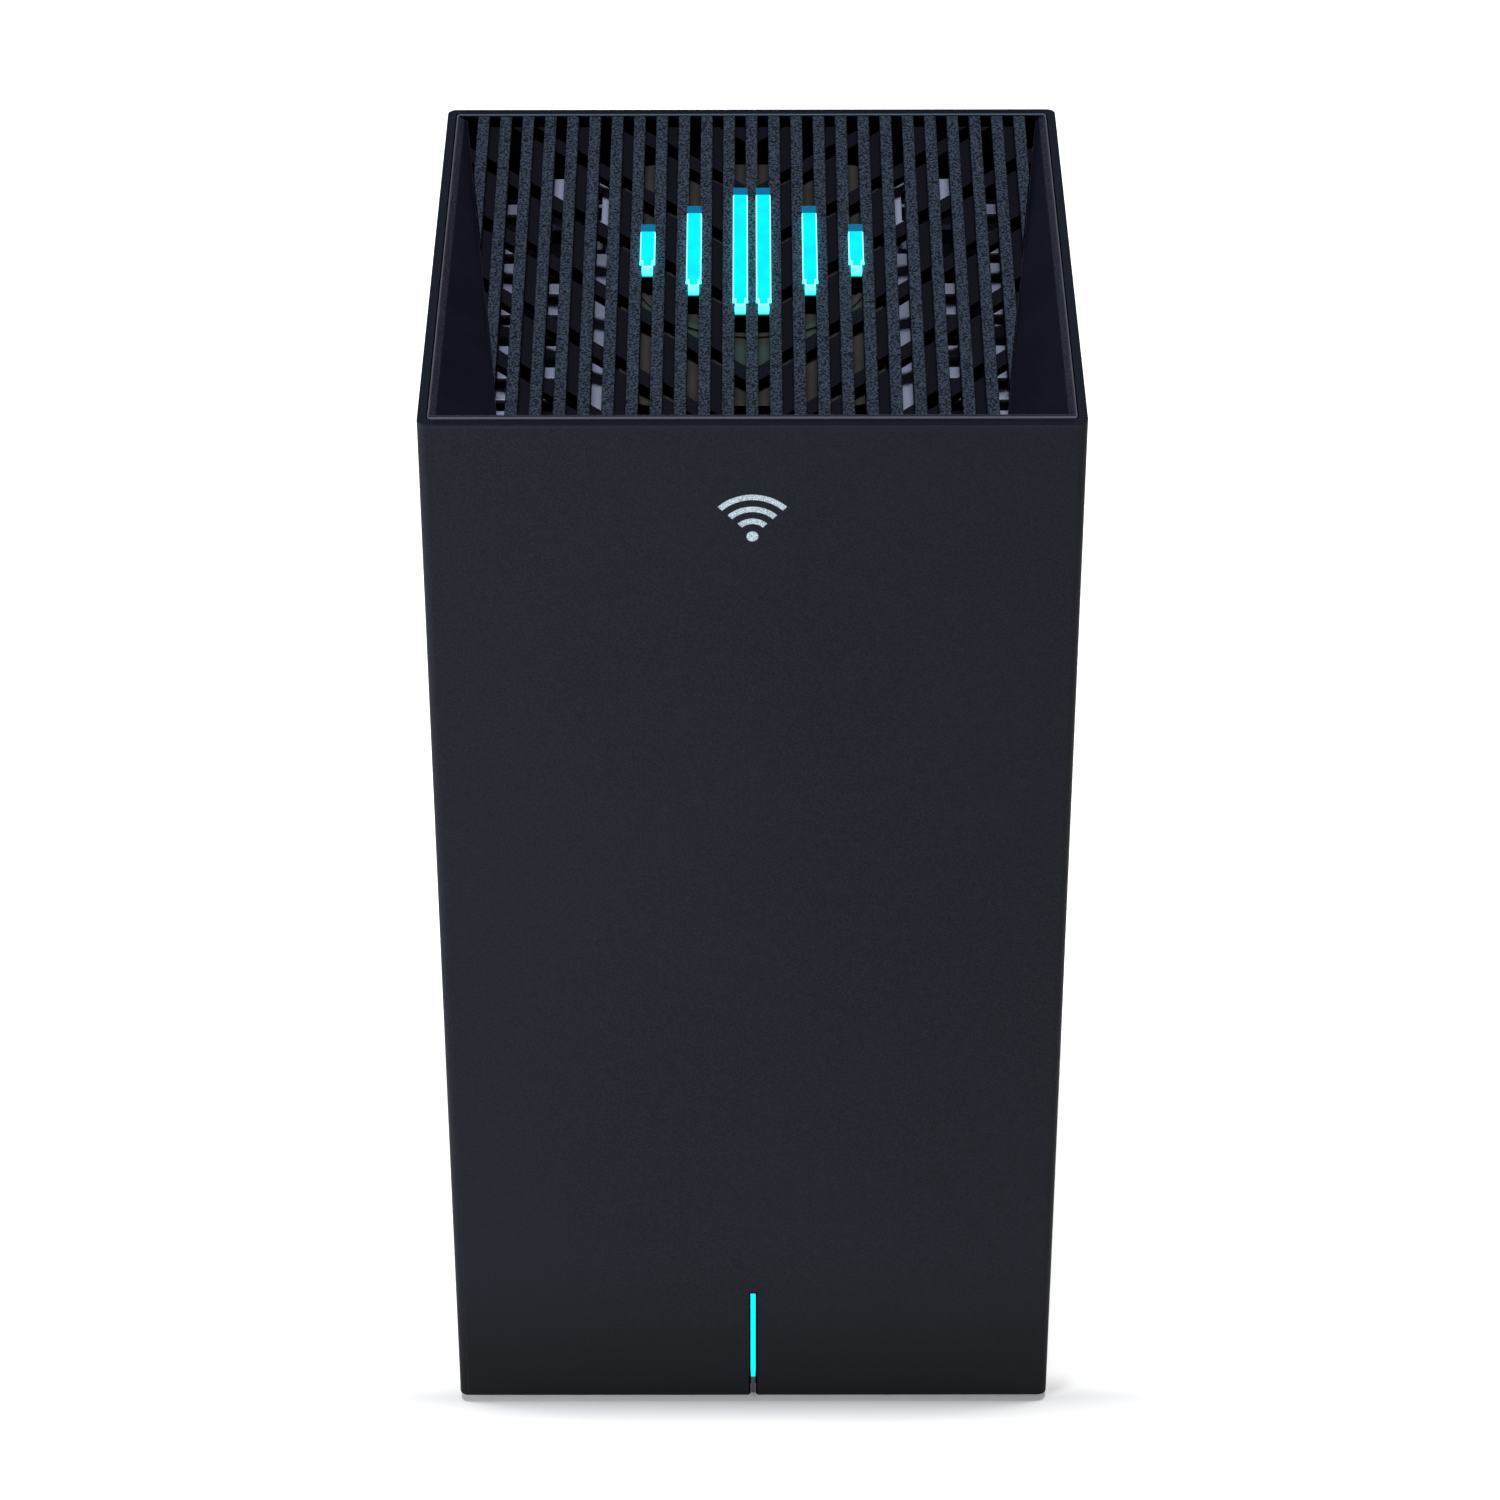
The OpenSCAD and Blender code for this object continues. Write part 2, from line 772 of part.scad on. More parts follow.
module heat_sink_right() {
    color("#c3c6cd") union() {
        sink_body(thread_r);
        box([board_x + cpu_t + pad_t, cpu_y - cpu_w / 2, cpu_z - cpu_w / 2],
            [sink_x + eps, cpu_y + cpu_w / 2, cpu_z + cpu_w / 2]);
    }
}

module heat_sink_left() {
    color("#c3c6cd") mirror([1, 0, 0]) union() {
        sink_body(screw_hole_r);
        for (z = shield_zs)
            box([board_x + shield_t + pad_t, shield_y - cpu_w / 2, z - cpu_w / 2],
                [sink_x + eps, shield_y + cpu_w / 2, z + cpu_w / 2]);
    }
}

module heat_sink_screws() {
    color("#a9abae") for (i = post_gaps, z = post_zs)
        translate([-sink_x - sink_t, fin_y(i), z]) rotate([0, 90, 0])
            screw(head_r, head_h, through_screw_end + sink_x + sink_t);
}

// Folded plate with a window, standing on the heat sink's top edge
module clamp_brackets() {
    color("#b9bcc4") both_sides() difference() {
        union() {
            box([bracket_x, bracket_front_y, bracket_top - bracket_t],
                [bracket_end_x, bracket_rear_y, bracket_top]);
            box([bracket_x, bracket_front_y, sink_top_z],
                [bracket_x + bracket_t, bracket_rear_y, bracket_top]);
        }
        box([bracket_x + bracket_rim, bracket_front_y + bracket_rim, bracket_top - bracket_t - cut],
            [bracket_end_x - 2 * bracket_rim, bracket_rear_y - 2 * bracket_rim, bracket_top + cut]);
    }
}

// Places a shape at each antenna: front pair, then rear pair
module at_antennas() {
    both_sides() translate([antenna_x, sink_front_y - peg_len, antenna_z]) children();
    both_sides() translate([antenna_x, sink_rear_y + peg_len, antenna_z]) mirror([0, 1, 0]) children();
}

module antenna_carriers() {
    color("#2a2b2e") at_antennas()
        translate([0, -carrier_t / 2, 0]) difference() {
            union() {
                cube([carrier_w, carrier_t, carrier_h], center = true);
                for (side = [-1, 1])
                    translate([0, (carrier_t + peg_len) / 2, side * peg_z])
                        cube([peg_w, peg_len, peg_h], center = true);
            }
            cube([carrier_w / 2, carrier_t + cut, antenna_h / 2], center = true);
        }
}

module antenna_boards() {
    color("#1f4a3a") at_antennas()
        translate([0, -carrier_t - antenna_t / 2, 0]) difference() {
            cube([antenna_w, antenna_t, antenna_h], center = true);
            for (slot = antenna_slots)
                translate([slot[0], 0, slot[1]])
                    cube([antenna_w / 2, antenna_t + cut, antenna_slot_h], center = true);
        }
}

// Coaxial lead: along X behind the antenna, in towards the board, then to its plug
module coax_run(y_out, y_in, z) {
    union() {
        rod_x(cable_x, antenna_x - antenna_w / 2, y_out, z, cable_r);
        translate([cable_x, y_out, z]) sphere(cable_r);
        rod_y(cable_x, min(y_out, y_in), max(y_out, y_in), z, cable_r);
        translate([cable_x, y_in, z]) sphere(cable_r);
        rod_x(board_x + plug_h, cable_x, y_in, z, cable_r);
    }
}

module antenna_cables() {
    color("#101113") both_sides() {
        coax_run(front_cable_y, -plug_y, cable_front_z);
        coax_run(rear_cable_y, plug_y, cable_rear_z);
    }
}

module coax_plugs() {
    color("#c9a44a") both_sides() {
        rod_x(board_x, board_x + plug_h, -plug_y, cable_front_z, plug_r);
        rod_x(board_x, board_x + plug_h, plug_y, cable_rear_z, plug_r);
    }
}

module io_panel() {
    color("#202228") difference() {
        box([-panel_half, panel_y - panel_t, window_z - panel_margin],
            [panel_half, panel_y, window_z + window_h + panel_margin]);
        for (z = jack_zs)
            box([board_x - port_r, panel_y - panel_t - cut, z - jack_w / 2 - port_r],
                [board_x + jack_h + port_r, panel_y + cut, z + jack_w / 2 + port_r]);
        box([-board_x - usb_h - port_r, panel_y - panel_t - cut, usb_z - usb_w / 2 - port_r],
            [-board_x + port_r, panel_y + cut, usb_z + usb_w / 2 + port_r]);
        box([-board_x - dc_h - port_r, panel_y - panel_t - cut, dc_z - dc_w / 2 - port_r],
            [-board_x + port_r, panel_y + cut, dc_z + dc_w / 2 + port_r]);
        rod_y(button_x, panel_y - panel_t - cut, panel_y + cut, power_z, power_r + slide_gap);
        rod_y(button_x, panel_y - panel_t - cut, panel_y + cut, pairing_z, pairing_r + slide_gap);
        rod_y(button_x, panel_y - panel_t - cut, panel_y + cut, reset_z, reset_hole_r);
    }
}

// Network socket with its latch notch, its mouth facing the rear
module network_jack(z) {
    mouth_x = board_x + jack_floor;
    color("#1b1c1f") difference() {
        box([board_x, panel_y - jack_d, z - jack_w / 2], [board_x + jack_h, panel_y, z + jack_w / 2]);
        box([mouth_x, panel_y - jack_mouth_d, z - jack_mouth_w / 2],
            [mouth_x + jack_mouth_h, panel_y + cut, z + jack_mouth_w / 2]);
        box([mouth_x, panel_y - jack_mouth_d, z - jack_latch_w / 2],
            [mouth_x + jack_mouth_h + jack_latch_h, panel_y + cut, z + jack_latch_w / 2]);
    }
}

module wan_jack() { network_jack(jack_zs[0]); }
module lan_jack_1() { network_jack(jack_zs[1]); }
module lan_jack_2() { network_jack(jack_zs[2]); }

module jack_contacts() {
    contact_x = board_x + jack_floor;
    color("#d6ad4d") for (z = jack_zs, c = [0 : contact_count - 1])
        translate([contact_x, panel_y - jack_mouth_d, z + (c - (contact_count - 1) / 2) * contact_pitch])
            box([0, 0, -contact_t / 2], [contact_rise, contact_len, contact_t / 2]);
}

module usb_shell() {
    color("#b7babd") difference() {
        box([-board_x - usb_h, panel_y - usb_d, usb_z - usb_w / 2], [-board_x, panel_y, usb_z + usb_w / 2]);
        box([-board_x - usb_h / 2 - usb_mouth_h / 2, panel_y - usb_d + usb_back, usb_z - usb_w / 2 + usb_t],
            [-board_x - usb_h / 2 + usb_mouth_h / 2, panel_y + cut, usb_z + usb_w / 2 - usb_t]);
    }
}

module usb_tongue() {
    tongue_x = -board_x - usb_h / 2 + usb_mouth_h / 2 - usb_tongue_x;
    color("#2b6fb5")
        box([tongue_x - usb_tongue_t, panel_y - usb_d + usb_back, usb_z - usb_tongue_w / 2],
            [tongue_x, panel_y - usb_tongue_y, usb_z + usb_tongue_w / 2]);
}

module dc_jack() {
    color("#141517") difference() {
        box([-board_x - dc_h, panel_y - dc_d, dc_z - dc_w / 2], [-board_x, panel_y, dc_z + dc_w / 2]);
        rod_y(-board_x - dc_h / 2, panel_y - dc_bore_d, panel_y + cut, dc_z, dc_bore_r);
    }
}

module dc_pin() {
    color("#c8cacc") union() {
        rod_y(-board_x - dc_h / 2, panel_y - dc_bore_d, panel_y - dc_pin_y, dc_z, dc_pin_r);
        translate([-board_x - dc_h / 2, panel_y - dc_pin_y, dc_z]) sphere(dc_pin_r);
    }
}

// Cap with a collar behind the panel and a stem that runs into its switch
module button(z, r, travel) {
    back_y = panel_y - panel_t - flange_space;
    stem_end_y = back_y - button_flange - 1.5 * travel - stem_grip;
    color("#33363f") union() {
        rod_y(button_x, back_y, panel_y + button_face, z, r);
        rod_y(button_x, back_y - button_flange, back_y, z, r + collar_w);
        rod_y(button_x, stem_end_y, back_y, z, stem_r);
    }
}

// Switch with a bore that takes the stem's whole travel
module button_switch(z, travel) {
    back_y = panel_y - panel_t - flange_space;
    front_y = back_y - button_flange - travel - collar_space;
    color("#1a1b1d") difference() {
        box([button_x - switch_w / 2, front_y - switch_d, z - switch_w / 2],
            [-board_x, front_y, z + switch_w / 2]);
        rod_y(button_x, front_y - 2 * travel - bore_spare, front_y + cut, z, stem_r + slide_gap);
    }
}

module power_button() { button(power_z, power_r, power_travel); }
module power_switch() { button_switch(power_z, power_travel); }
module pairing_button() { button(pairing_z, pairing_r, pairing_travel); }
module pairing_switch() { button_switch(pairing_z, pairing_travel); }

// Plunger that a pin reaches through the small hole in the panel
module reset_button() {
    color("#c9302c")
        rod_y(button_x, reset_front_y - reset_grip, reset_front_y + reset_rise, reset_z, reset_r);
}

module reset_switch() {
    color("#1a1b1d") difference() {
        box([button_x - reset_w / 2, reset_front_y - reset_d, reset_z - reset_w / 2],
            [-board_x, reset_front_y, reset_z + reset_w / 2]);
        rod_y(button_x, reset_front_y - reset_grip - 2 * reset_travel, reset_front_y + cut,
            reset_z, reset_r + plunger_gap);
    }
}

// Counterbored hole through the base, drawn from its lower face
module screw_hole() {
    translate([0, 0, -cut]) cylinder(r = screw_hole_r, h = base_t + 2 * cut);
    translate([0, 0, -cut]) cylinder(r = head_r + gap, h = cut + head_seat);
}

module base_plate() {
    color("#1d1e22") difference() {
        translate([0, 0, sleeve_z]) linear_extrude(base_t) difference() {
            rounded_square(2 * base_half, 2 * base_half, inner_r);
            for (i = [0 : vent_count - 1])
                translate([(i - (vent_count - 1) / 2) * vent_pitch, 0])
                    square([vent_w, vent_len], center = true);
            translate([0, -inner_half + guide_flange_t / 2])
                square([status_w + 2 * gap, guide_flange_t + 2 * gap], center = true);
        }
        for (sx = [-1, 1], sy = [-1, 1]) {
            translate([sx * foot_at, sy * foot_at, sleeve_z - cut])
                cylinder(r = foot_r + gap, h = cut + foot_seat);
            translate([sx * boss_at, sy * boss_at, sleeve_z]) screw_hole();
            translate([sx * chassis_screw_x, sy * chassis_screw_y, sleeve_z]) screw_hole();
        }
        translate([0, label_y, sleeve_z])
            cube([label_w + 2 * gap, label_d + 2 * gap, 2 * label_t], center = true);
    }
}

module rubber_feet() {
    color("#111214") for (sx = [-1, 1], sy = [-1, 1])
        translate([sx * foot_at, sy * foot_at, 0]) union() {
            cylinder(r1 = foot_r - foot_edge, r2 = foot_r, h = foot_edge);
            translate([0, 0, foot_edge]) cylinder(r = foot_r, h = foot_show + foot_seat - foot_edge);
        }
}

module blank_label() {
    color("#c9ccd0") translate([0, label_y, sleeve_z + label_t / 2])
        cube([label_w, label_d, label_t], center = true);
}

module base_screws() {
    color("#8f9194") for (sx = [-1, 1], sy = [-1, 1])
        translate([sx * boss_at, sy * boss_at, sleeve_z + head_seat])
            screw(head_r, head_seat, base_screw_len);
}

module chassis_screws() {
    color("#8f9194") for (sx = [-1, 1], sy = [-1, 1])
        translate([sx * chassis_screw_x, sy * chassis_screw_y, sleeve_z + head_seat])
            screw(head_r, head_seat, chassis_screw_len);
}

module board_screws() {
    color("#a9abae") for (z = tab_zs)
        translate([-board_x, board_screw_y, z]) rotate([0, 90, 0]) screw(head_r, head_seat, board_screw_len);
}

outer_sleeve();
top_bezel();
top_grille();
light_bars();
light_box();
light_diffuser();
led_board();
bar_leds();
led_ribbon();
ribbon_sockets();
front_emblem();
status_light_guide();
status_led_board();
status_led();
inner_chassis();
main_board();
processor();
memory_chips();
radio_shields();
power_inductors();
capacitors();
thermal_pads();
heat_sink_left();
heat_sink_right();
heat_sink_screws();
clamp_brackets();
antenna_boards();
antenna_carriers();
antenna_cables();
coax_plugs();
io_panel();
wan_jack();
lan_jack_1();
lan_jack_2();
jack_contacts();
usb_shell();
usb_tongue();
dc_jack();
dc_pin();
power_button();
power_switch();
pairing_button();
pairing_switch();
reset_button();
reset_switch();
base_plate();
rubber_feet();
blank_label();
base_screws();
board_screws();
chassis_screws();
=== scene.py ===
"""Looks of the mesh wifi node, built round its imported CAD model. Units are metres, in the CAD frame."""

import json
import math
import random

import bmesh
import bpy
from mathutils import Matrix, Vector

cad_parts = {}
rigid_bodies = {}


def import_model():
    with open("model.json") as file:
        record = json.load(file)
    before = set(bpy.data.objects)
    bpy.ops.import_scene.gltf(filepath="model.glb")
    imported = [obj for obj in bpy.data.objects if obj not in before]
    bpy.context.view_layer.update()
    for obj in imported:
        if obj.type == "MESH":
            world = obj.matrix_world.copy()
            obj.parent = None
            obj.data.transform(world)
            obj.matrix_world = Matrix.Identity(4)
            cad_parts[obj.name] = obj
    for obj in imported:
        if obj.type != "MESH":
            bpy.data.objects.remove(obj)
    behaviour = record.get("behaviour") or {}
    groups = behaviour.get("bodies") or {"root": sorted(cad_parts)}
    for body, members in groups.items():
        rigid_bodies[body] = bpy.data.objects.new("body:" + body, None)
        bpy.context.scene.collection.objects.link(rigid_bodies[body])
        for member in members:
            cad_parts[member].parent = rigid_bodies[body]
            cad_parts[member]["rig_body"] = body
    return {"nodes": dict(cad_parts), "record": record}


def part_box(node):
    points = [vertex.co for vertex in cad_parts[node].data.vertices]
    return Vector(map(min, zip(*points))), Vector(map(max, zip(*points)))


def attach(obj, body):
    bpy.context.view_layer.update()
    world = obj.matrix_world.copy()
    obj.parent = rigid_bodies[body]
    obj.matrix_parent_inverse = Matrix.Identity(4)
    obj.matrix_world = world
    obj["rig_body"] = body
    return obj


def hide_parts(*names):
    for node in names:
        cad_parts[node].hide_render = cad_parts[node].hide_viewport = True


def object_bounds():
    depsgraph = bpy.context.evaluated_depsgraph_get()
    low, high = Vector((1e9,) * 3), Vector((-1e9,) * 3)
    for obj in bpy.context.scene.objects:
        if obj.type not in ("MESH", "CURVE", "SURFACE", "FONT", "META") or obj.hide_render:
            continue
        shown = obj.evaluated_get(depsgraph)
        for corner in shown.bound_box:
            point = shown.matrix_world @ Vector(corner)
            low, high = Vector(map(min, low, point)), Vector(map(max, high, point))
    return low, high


MM = 0.001

# Camera
CAMERA_PLACE = (-0.0006, -0.7163, 0.6045)
CAMERA_PITCH = 34.902
CAMERA_YAW = -0.015
CAMERA_ROLL = 0.07
CAMERA_LENS = 120.33
SENSOR = 36

# Studio: a sky that fades upwards, and a table that is lit from below behind the object's front
WORLD_FADE = (0.1, 0.45)
WORLD_HORIZON = 0.35
WORLD_ZENITH = 0.08
WORLD_TINT = (0.93, 0.95, 1.0, 1)
TABLE_HALF = 4
TABLE_GLOW = 0.45
GLOW_FADE = 9 * MM

# Lights: name, place, aim, width and height, power in watts, colour
LIGHTS = [
    ("overhead", (0, 0.03, 5.0), (0, 0, 0), (1.6, 0.22), 270, (1.0, 0.99, 0.98)),
    ("front", (0, -1.7, 2.0), (0, 0, 0.05), (3.0, 1.6), 6, (0.96, 0.98, 1.0)),
    ("key", (-0.42, -0.42, 0.27), (0, 0, 0.12), (0.25, 0.25), 3.0, (0.88, 0.93, 1.0)),
    ("rear", (0, 1.2, 0.1), (0, 0, 0.1), (1.2, 0.18), 4, (1.0, 0.99, 0.97)),
]

# Distance within which places count as the same, and welding distance
NEAR = 0.01 * MM
WELD = 0.001 * MM

# Sleeve: where painted shade darkens its foot, the painted highlight line below the rim, the rim's painted
# dark reflection, the side rims' painted bluish sheen, the painted shadow in the status light's gap, and
# the half width that stays square round its slot
FOOT_SHADE = (-4 * MM, 34 * MM)
RIM_HIGHLIGHT = (0.9 * MM, 0.78 * MM)
RIM_REFLECTION = (0.32 * MM, 0.24 * MM)
SIDE_RIM_SHEEN = (2.6 * MM, 2.2 * MM)
STATUS_GAP_SHADE = (0.34 * MM, 0.24 * MM)
STATUS_CLEAR = 5 * MM

# Widths of the rounded edges of the larger pieces
SLEEVE_EDGE = 0.3 * MM
BEZEL_EDGE = 0.1 * MM
SLAT_EDGE = 0.22 * MM
FIN_EDGE = 0.15 * MM
BASE_EDGE = 0.3 * MM
BAR_EDGE = 0.28 * MM

# Grille, which slopes down to the front, and the depths below the slat tops over which the lattice darkens
# with painted shade
GRILLE_SLOPE = math.radians(4.6)
SLAT_TOP = 0.06 * MM
LATTICE_SHADE = (0.25 * MM, 1.2 * MM)

# Bezel: reach of the speckled border with its painted sheen and of the painted highlight line, from the
# sides and from the front
SHEEN_BORDER_SIDE = (1.3 * MM, 1.1 * MM)
SHEEN_BORDER_FRONT = (1.5 * MM, 1.2 * MM)
HIGHLIGHT_SIDE = (0.24 * MM, 0.16 * MM)
HIGHLIGHT_FRONT = (0.6 * MM, 0.5 * MM)
HIGHLIGHT_REAR = (0.9 * MM, 0.8 * MM)
HIGHLIGHT_TOP = (0.2 * MM, 0.12 * MM)

# Lights of the object: unlit rear ends, the depth at which bars go dark, and the status light's unlit foot
TAIL_LENGTH = 2.3 * MM
BAR_LIT = (2.2 * MM, 1.0 * MM)
BAR_TOP = 0.05 * MM
WALL_GLOW = 4.5
STATUS_LIT_FROM = 4.4 * MM
STATUS_HALF = 0.45 * MM
STATUS_HEIGHT = 23.7 * MM
STATUS_FADE = 0.3 * MM
STATUS_GLOW = 1.1

# Base plate: distance from the label within which corners stay square
LABEL_CLEAR = 0.5 * MM

# Screws
THREAD_PITCH = 0.7 * MM
THREAD_DEPTH = 0.2 * MM
THREAD_SIDES = 24
THREAD_STEP = THREAD_PITCH / 4
THREAD_START = 0.6 * MM
THREAD_CLEAR = 0.5 * MM
SHANK = 0.4 * MM
TIP_LENGTH = 0.3 * MM
TIP_TAPER = 0.5 * MM
DRIVE_DEPTH = 1.1 * MM
DRIVE_WIDTH = 0.75 * MM
DRIVE_REACH = 1.6 * MM
DRIVE_TAPER = 0.45
HEAD_EDGE = 0.25 * MM
HEAD_RIM = 0.1 * MM

# Feet: the sole's profile as distances in from the side and up from the ground, from the middle outwards
SOLE_MIDDLE = 0.6 * MM
SOLE_RISE = 0.25 * MM
GROOVE = 0.2 * MM
SOLE = [
    (3.6 * MM, SOLE_RISE), (3.3 * MM, 0),
    (2.4 * MM, 0), (2.2 * MM, GROOVE), (1.7 * MM, GROOVE), (1.5 * MM, 0),
    (0.6 * MM, 0), (0.15 * MM, SOLE_RISE),
]
SOLE_SIDE = 0.6 * MM

# Leads and caps
LEAD_BEND = 3.2 * MM
LEAD_SIDES = 16
ARC_STEPS = 8
DISH_DEPTH = 0.3 * MM
DISH_STEPS = 6
CAP_EDGE = 0.4 * MM
CAP_RIM = 0.7 * MM
CAP_STEPS = 5
COLLAR_EDGE = 0.15 * MM
STEM_EDGE = 0.3 * MM
ROUND_SIDES = 64

# Sprung contacts of the network sockets
CONTACT_RISE = 2.8 * MM
CONTACT_THICKNESS = 0.25 * MM
CONTACT_WIDTH = 0.36 * MM
CONTACT_FLAT = 1.2 * MM
CONTACT_BENT = 1.8 * MM
CONTACT_LEAN = 0.2 * MM
CONTACT_DROP = 0.3 * MM
CONTACT_END = 0.4 * MM
CONTACT_EDGE = 0.05 * MM


# ---------------------------------------------------------------- helpers


def tone(red, green, blue):
    """A linear colour from display values of 0 to 255."""
    linear = []
    for value in (red, green, blue):
        share = value / 255
        linear.append(share / 12.92 if share <= 0.04045 else ((share + 0.055) / 1.055) ** 2.4)
    return (*linear, 1)


def scaled(colour, factor):
    return (*(channel * factor for channel in colour[:3]), 1)


def new_object(name, mesh):
    made = bpy.data.objects.new(name, mesh)
    bpy.context.scene.collection.objects.link(made)
    return made


def mesh_from(name, bm):
    bmesh.ops.recalc_face_normals(bm, faces=bm.faces)
    mesh = bpy.data.meshes.new(name)
    bm.to_mesh(mesh)
    bm.free()
    return mesh


def islands(node):
    """Each separate solid of a CAD node, as a list of its corner places."""
    bm = bmesh.new()
    bm.from_mesh(frame["nodes"][node].data)
    bmesh.ops.remove_doubles(bm, verts=bm.verts, dist=WELD)
    seen = set()
    found = []
    for start in bm.verts:
        if start in seen:
            continue
        seen.add(start)
        todo = [start]
        places = []
        while todo:
            vertex = todo.pop()
            places.append(vertex.co.copy())
            for edge in vertex.link_edges:
                other = edge.other_vert(vertex)
                if other not in seen:
                    seen.add(other)
                    todo.append(other)
        found.append(places)
    bm.free()
    return found


def box_of(places):
    lo = Vector([min(p[i] for p in places) for i in range(3)])
    hi = Vector([max(p[i] for p in places) for i in range(3)])
    return lo, hi


# ---------------------------------------------------------------- shaders


class Shader:
    """One procedural material. Each method adds a node and gives its output."""

    def __init__(self, name, **fixed):
        self.material = bpy.data.materials.new(name)
        self.material.use_nodes = True
        self.nodes = self.material.node_tree.nodes
        self.links = self.material.node_tree.links
        self.bsdf = self.nodes["Principled BSDF"]
        self.place = self.nodes.new("ShaderNodeTexCoord").outputs["Object"]
        for socket, value in fixed.items():
            self.bsdf.inputs[socket.replace("_", " ")].default_value = value

    def put(self, socket, value):
        if isinstance(value, bpy.types.NodeSocket):
            self.links.new(value, socket)
        else:
            socket.default_value = value

    def surface(self, socket, value):
        self.put(self.bsdf.inputs[socket], value)

    def stretched(self, stretch):
        node = self.nodes.new("ShaderNodeMapping")
        node.inputs["Scale"].default_value = stretch
        self.links.new(self.place, node.inputs["Vector"])
        return node.outputs["Vector"]

    def noise(self, size, detail=2.0, stretch=None):
        node = self.nodes.new("ShaderNodeTexNoise")
        node.inputs["Scale"].default_value = 1 / size
        node.inputs["Detail"].default_value = detail
        self.links.new(self.stretched(stretch) if stretch else self.place, node.inputs["Vector"])
        return node.outputs["Fac"]

    def cells(self, size, feature="F1"):
        node = self.nodes.new("ShaderNodeTexVoronoi")
        node.feature = feature
        node.inputs["Scale"].default_value = 1 / size
        self.links.new(self.place, node.inputs["Vector"])
        return node.outputs["Distance"]

    def span(self, value, low, high, to_low=0.0, to_high=1.0):
        node = self.nodes.new("ShaderNodeMapRange")
        node.interpolation_type = "SMOOTHSTEP"
        self.put(node.inputs["Value"], value)
        node.inputs["From Min"].default_value = low
        node.inputs["From Max"].default_value = high
        node.inputs["To Min"].default_value = to_low
        node.inputs["To Max"].default_value = to_high
        return node.outputs["Result"]

    def clouds(self, size, detail=3, low=0.0, high=1.0, stretch=None):
        """A slow change over the surface, between low and high."""
        return self.span(self.noise(size, detail, stretch), 0.3, 0.7, low, high)

    def maths(self, operation, first, second=0.0):
        node = self.nodes.new("ShaderNodeMath")
        node.operation = operation
        self.put(node.inputs[0], first)
        self.put(node.inputs[1], second)
        return node.outputs["Value"]

    def mix(self, share, first, second):
        node = self.nodes.new("ShaderNodeMix")
        node.data_type = "RGBA"
        self.put(node.inputs["Factor"], share)
        self.put(node.inputs["A"], first)
        self.put(node.inputs["B"], second)
        return node.outputs["Result"]

    def axis(self, letter):
        node = self.nodes.new("ShaderNodeSeparateXYZ")
        self.links.new(self.place, node.inputs["Vector"])
        return node.outputs[letter]

    def upright(self):
        """How far the face looks up or down: 1 on a level face and 0 on a wall."""
        node = self.nodes.new("ShaderNodeSeparateXYZ")
        normal = self.nodes.new("ShaderNodeNewGeometry").outputs["True Normal"]
        self.links.new(normal, node.inputs["Vector"])
        return self.maths("ABSOLUTE", node.outputs["Z"])

    def attribute(self, name):
        node = self.nodes.new("ShaderNodeAttribute")
        node.attribute_name = name
        return node.outputs["Fac"]

    def edges(self, radius, noise_size):
        """Share of wear along edges: where the rounded normal leaves the face's own one."""
        rounded = self.nodes.new("ShaderNodeBevel")
        rounded.samples = 4
        rounded.inputs["Radius"].default_value = radius
        flat = self.nodes.new("ShaderNodeNewGeometry").outputs["True Normal"]
        dot = self.nodes.new("ShaderNodeVectorMath")
        dot.operation = "DOT_PRODUCT"
        self.links.new(rounded.outputs["Normal"], dot.inputs[0])
        self.links.new(flat, dot.inputs[1])
        bare = self.span(dot.outputs["Value"], 0.99, 0.8)
        return self.maths("MULTIPLY", bare, self.clouds(noise_size, 2, 0.4, 1.0))

    def bump(self, height, depth, below=None):
        node = self.nodes.new("ShaderNodeBump")
        node.inputs["Distance"].default_value = depth
        self.links.new(height, node.inputs["Height"])
        if below is not None:
            self.links.new(below, node.inputs["Normal"])
        return node.outputs["Normal"]


def moulded(name, colour, rough, grain=0.35 * MM, depth=0.02 * MM, speckle=0.18, mottle=0.12,
            wear=0.5, specular=0.4, **fixed):
    """Moulded plastic: spark-eroded grain, slow tone drift, paler and smoother edges."""
    made = Shader(name, Specular_IOR_Level=specular, **fixed)
    drift = made.clouds(45 * MM, 3)
    fine = made.noise(grain, 3)
    body = made.mix(drift, scaled(colour, 1 - mottle), scaled(colour, 1 + mottle))
    dotted = made.mix(made.span(fine, 0.35, 0.65), body, scaled(colour, 1 + speckle))
    worn = made.edges(0.25 * MM, 4 * MM)
    made.surface("Base Color", made.mix(worn, dotted, scaled(colour, 1 + wear)))
    patchy = made.clouds(9 * MM, 4, rough - 0.05, rough + 0.06)
    made.surface("Roughness", made.maths("SUBTRACT", patchy, made.maths("MULTIPLY", worn, 0.1)))
    made.surface("Normal", made.bump(fine, depth))
    return made.material


def metal(name, colour, rough, grain=0.12 * MM, stretch=(1, 1, 0.04), metallic=1.0):
    """Drawn, rolled or cast metal: fine lines along one axis, dull patches and bright edges."""
    made = Shader(name, Metallic=metallic)
    lines = made.noise(grain, 4, stretch)
    patches = made.clouds(12 * MM, 3)
    body = made.mix(patches, scaled(colour, 0.9), colour)
    lined = made.mix(made.span(lines, 0.3, 0.7, 0.0, 0.35), body, scaled(colour, 0.8))
    worn = made.edges(0.15 * MM, 2 * MM)
    made.surface("Base Color", made.mix(worn, lined, scaled(colour, 1.25)))
    made.surface("Roughness", made.span(lines, 0.25, 0.75, rough - 0.06, rough + 0.1))
    made.surface("Normal", made.bump(lines, 0.004 * MM))
    return made.material


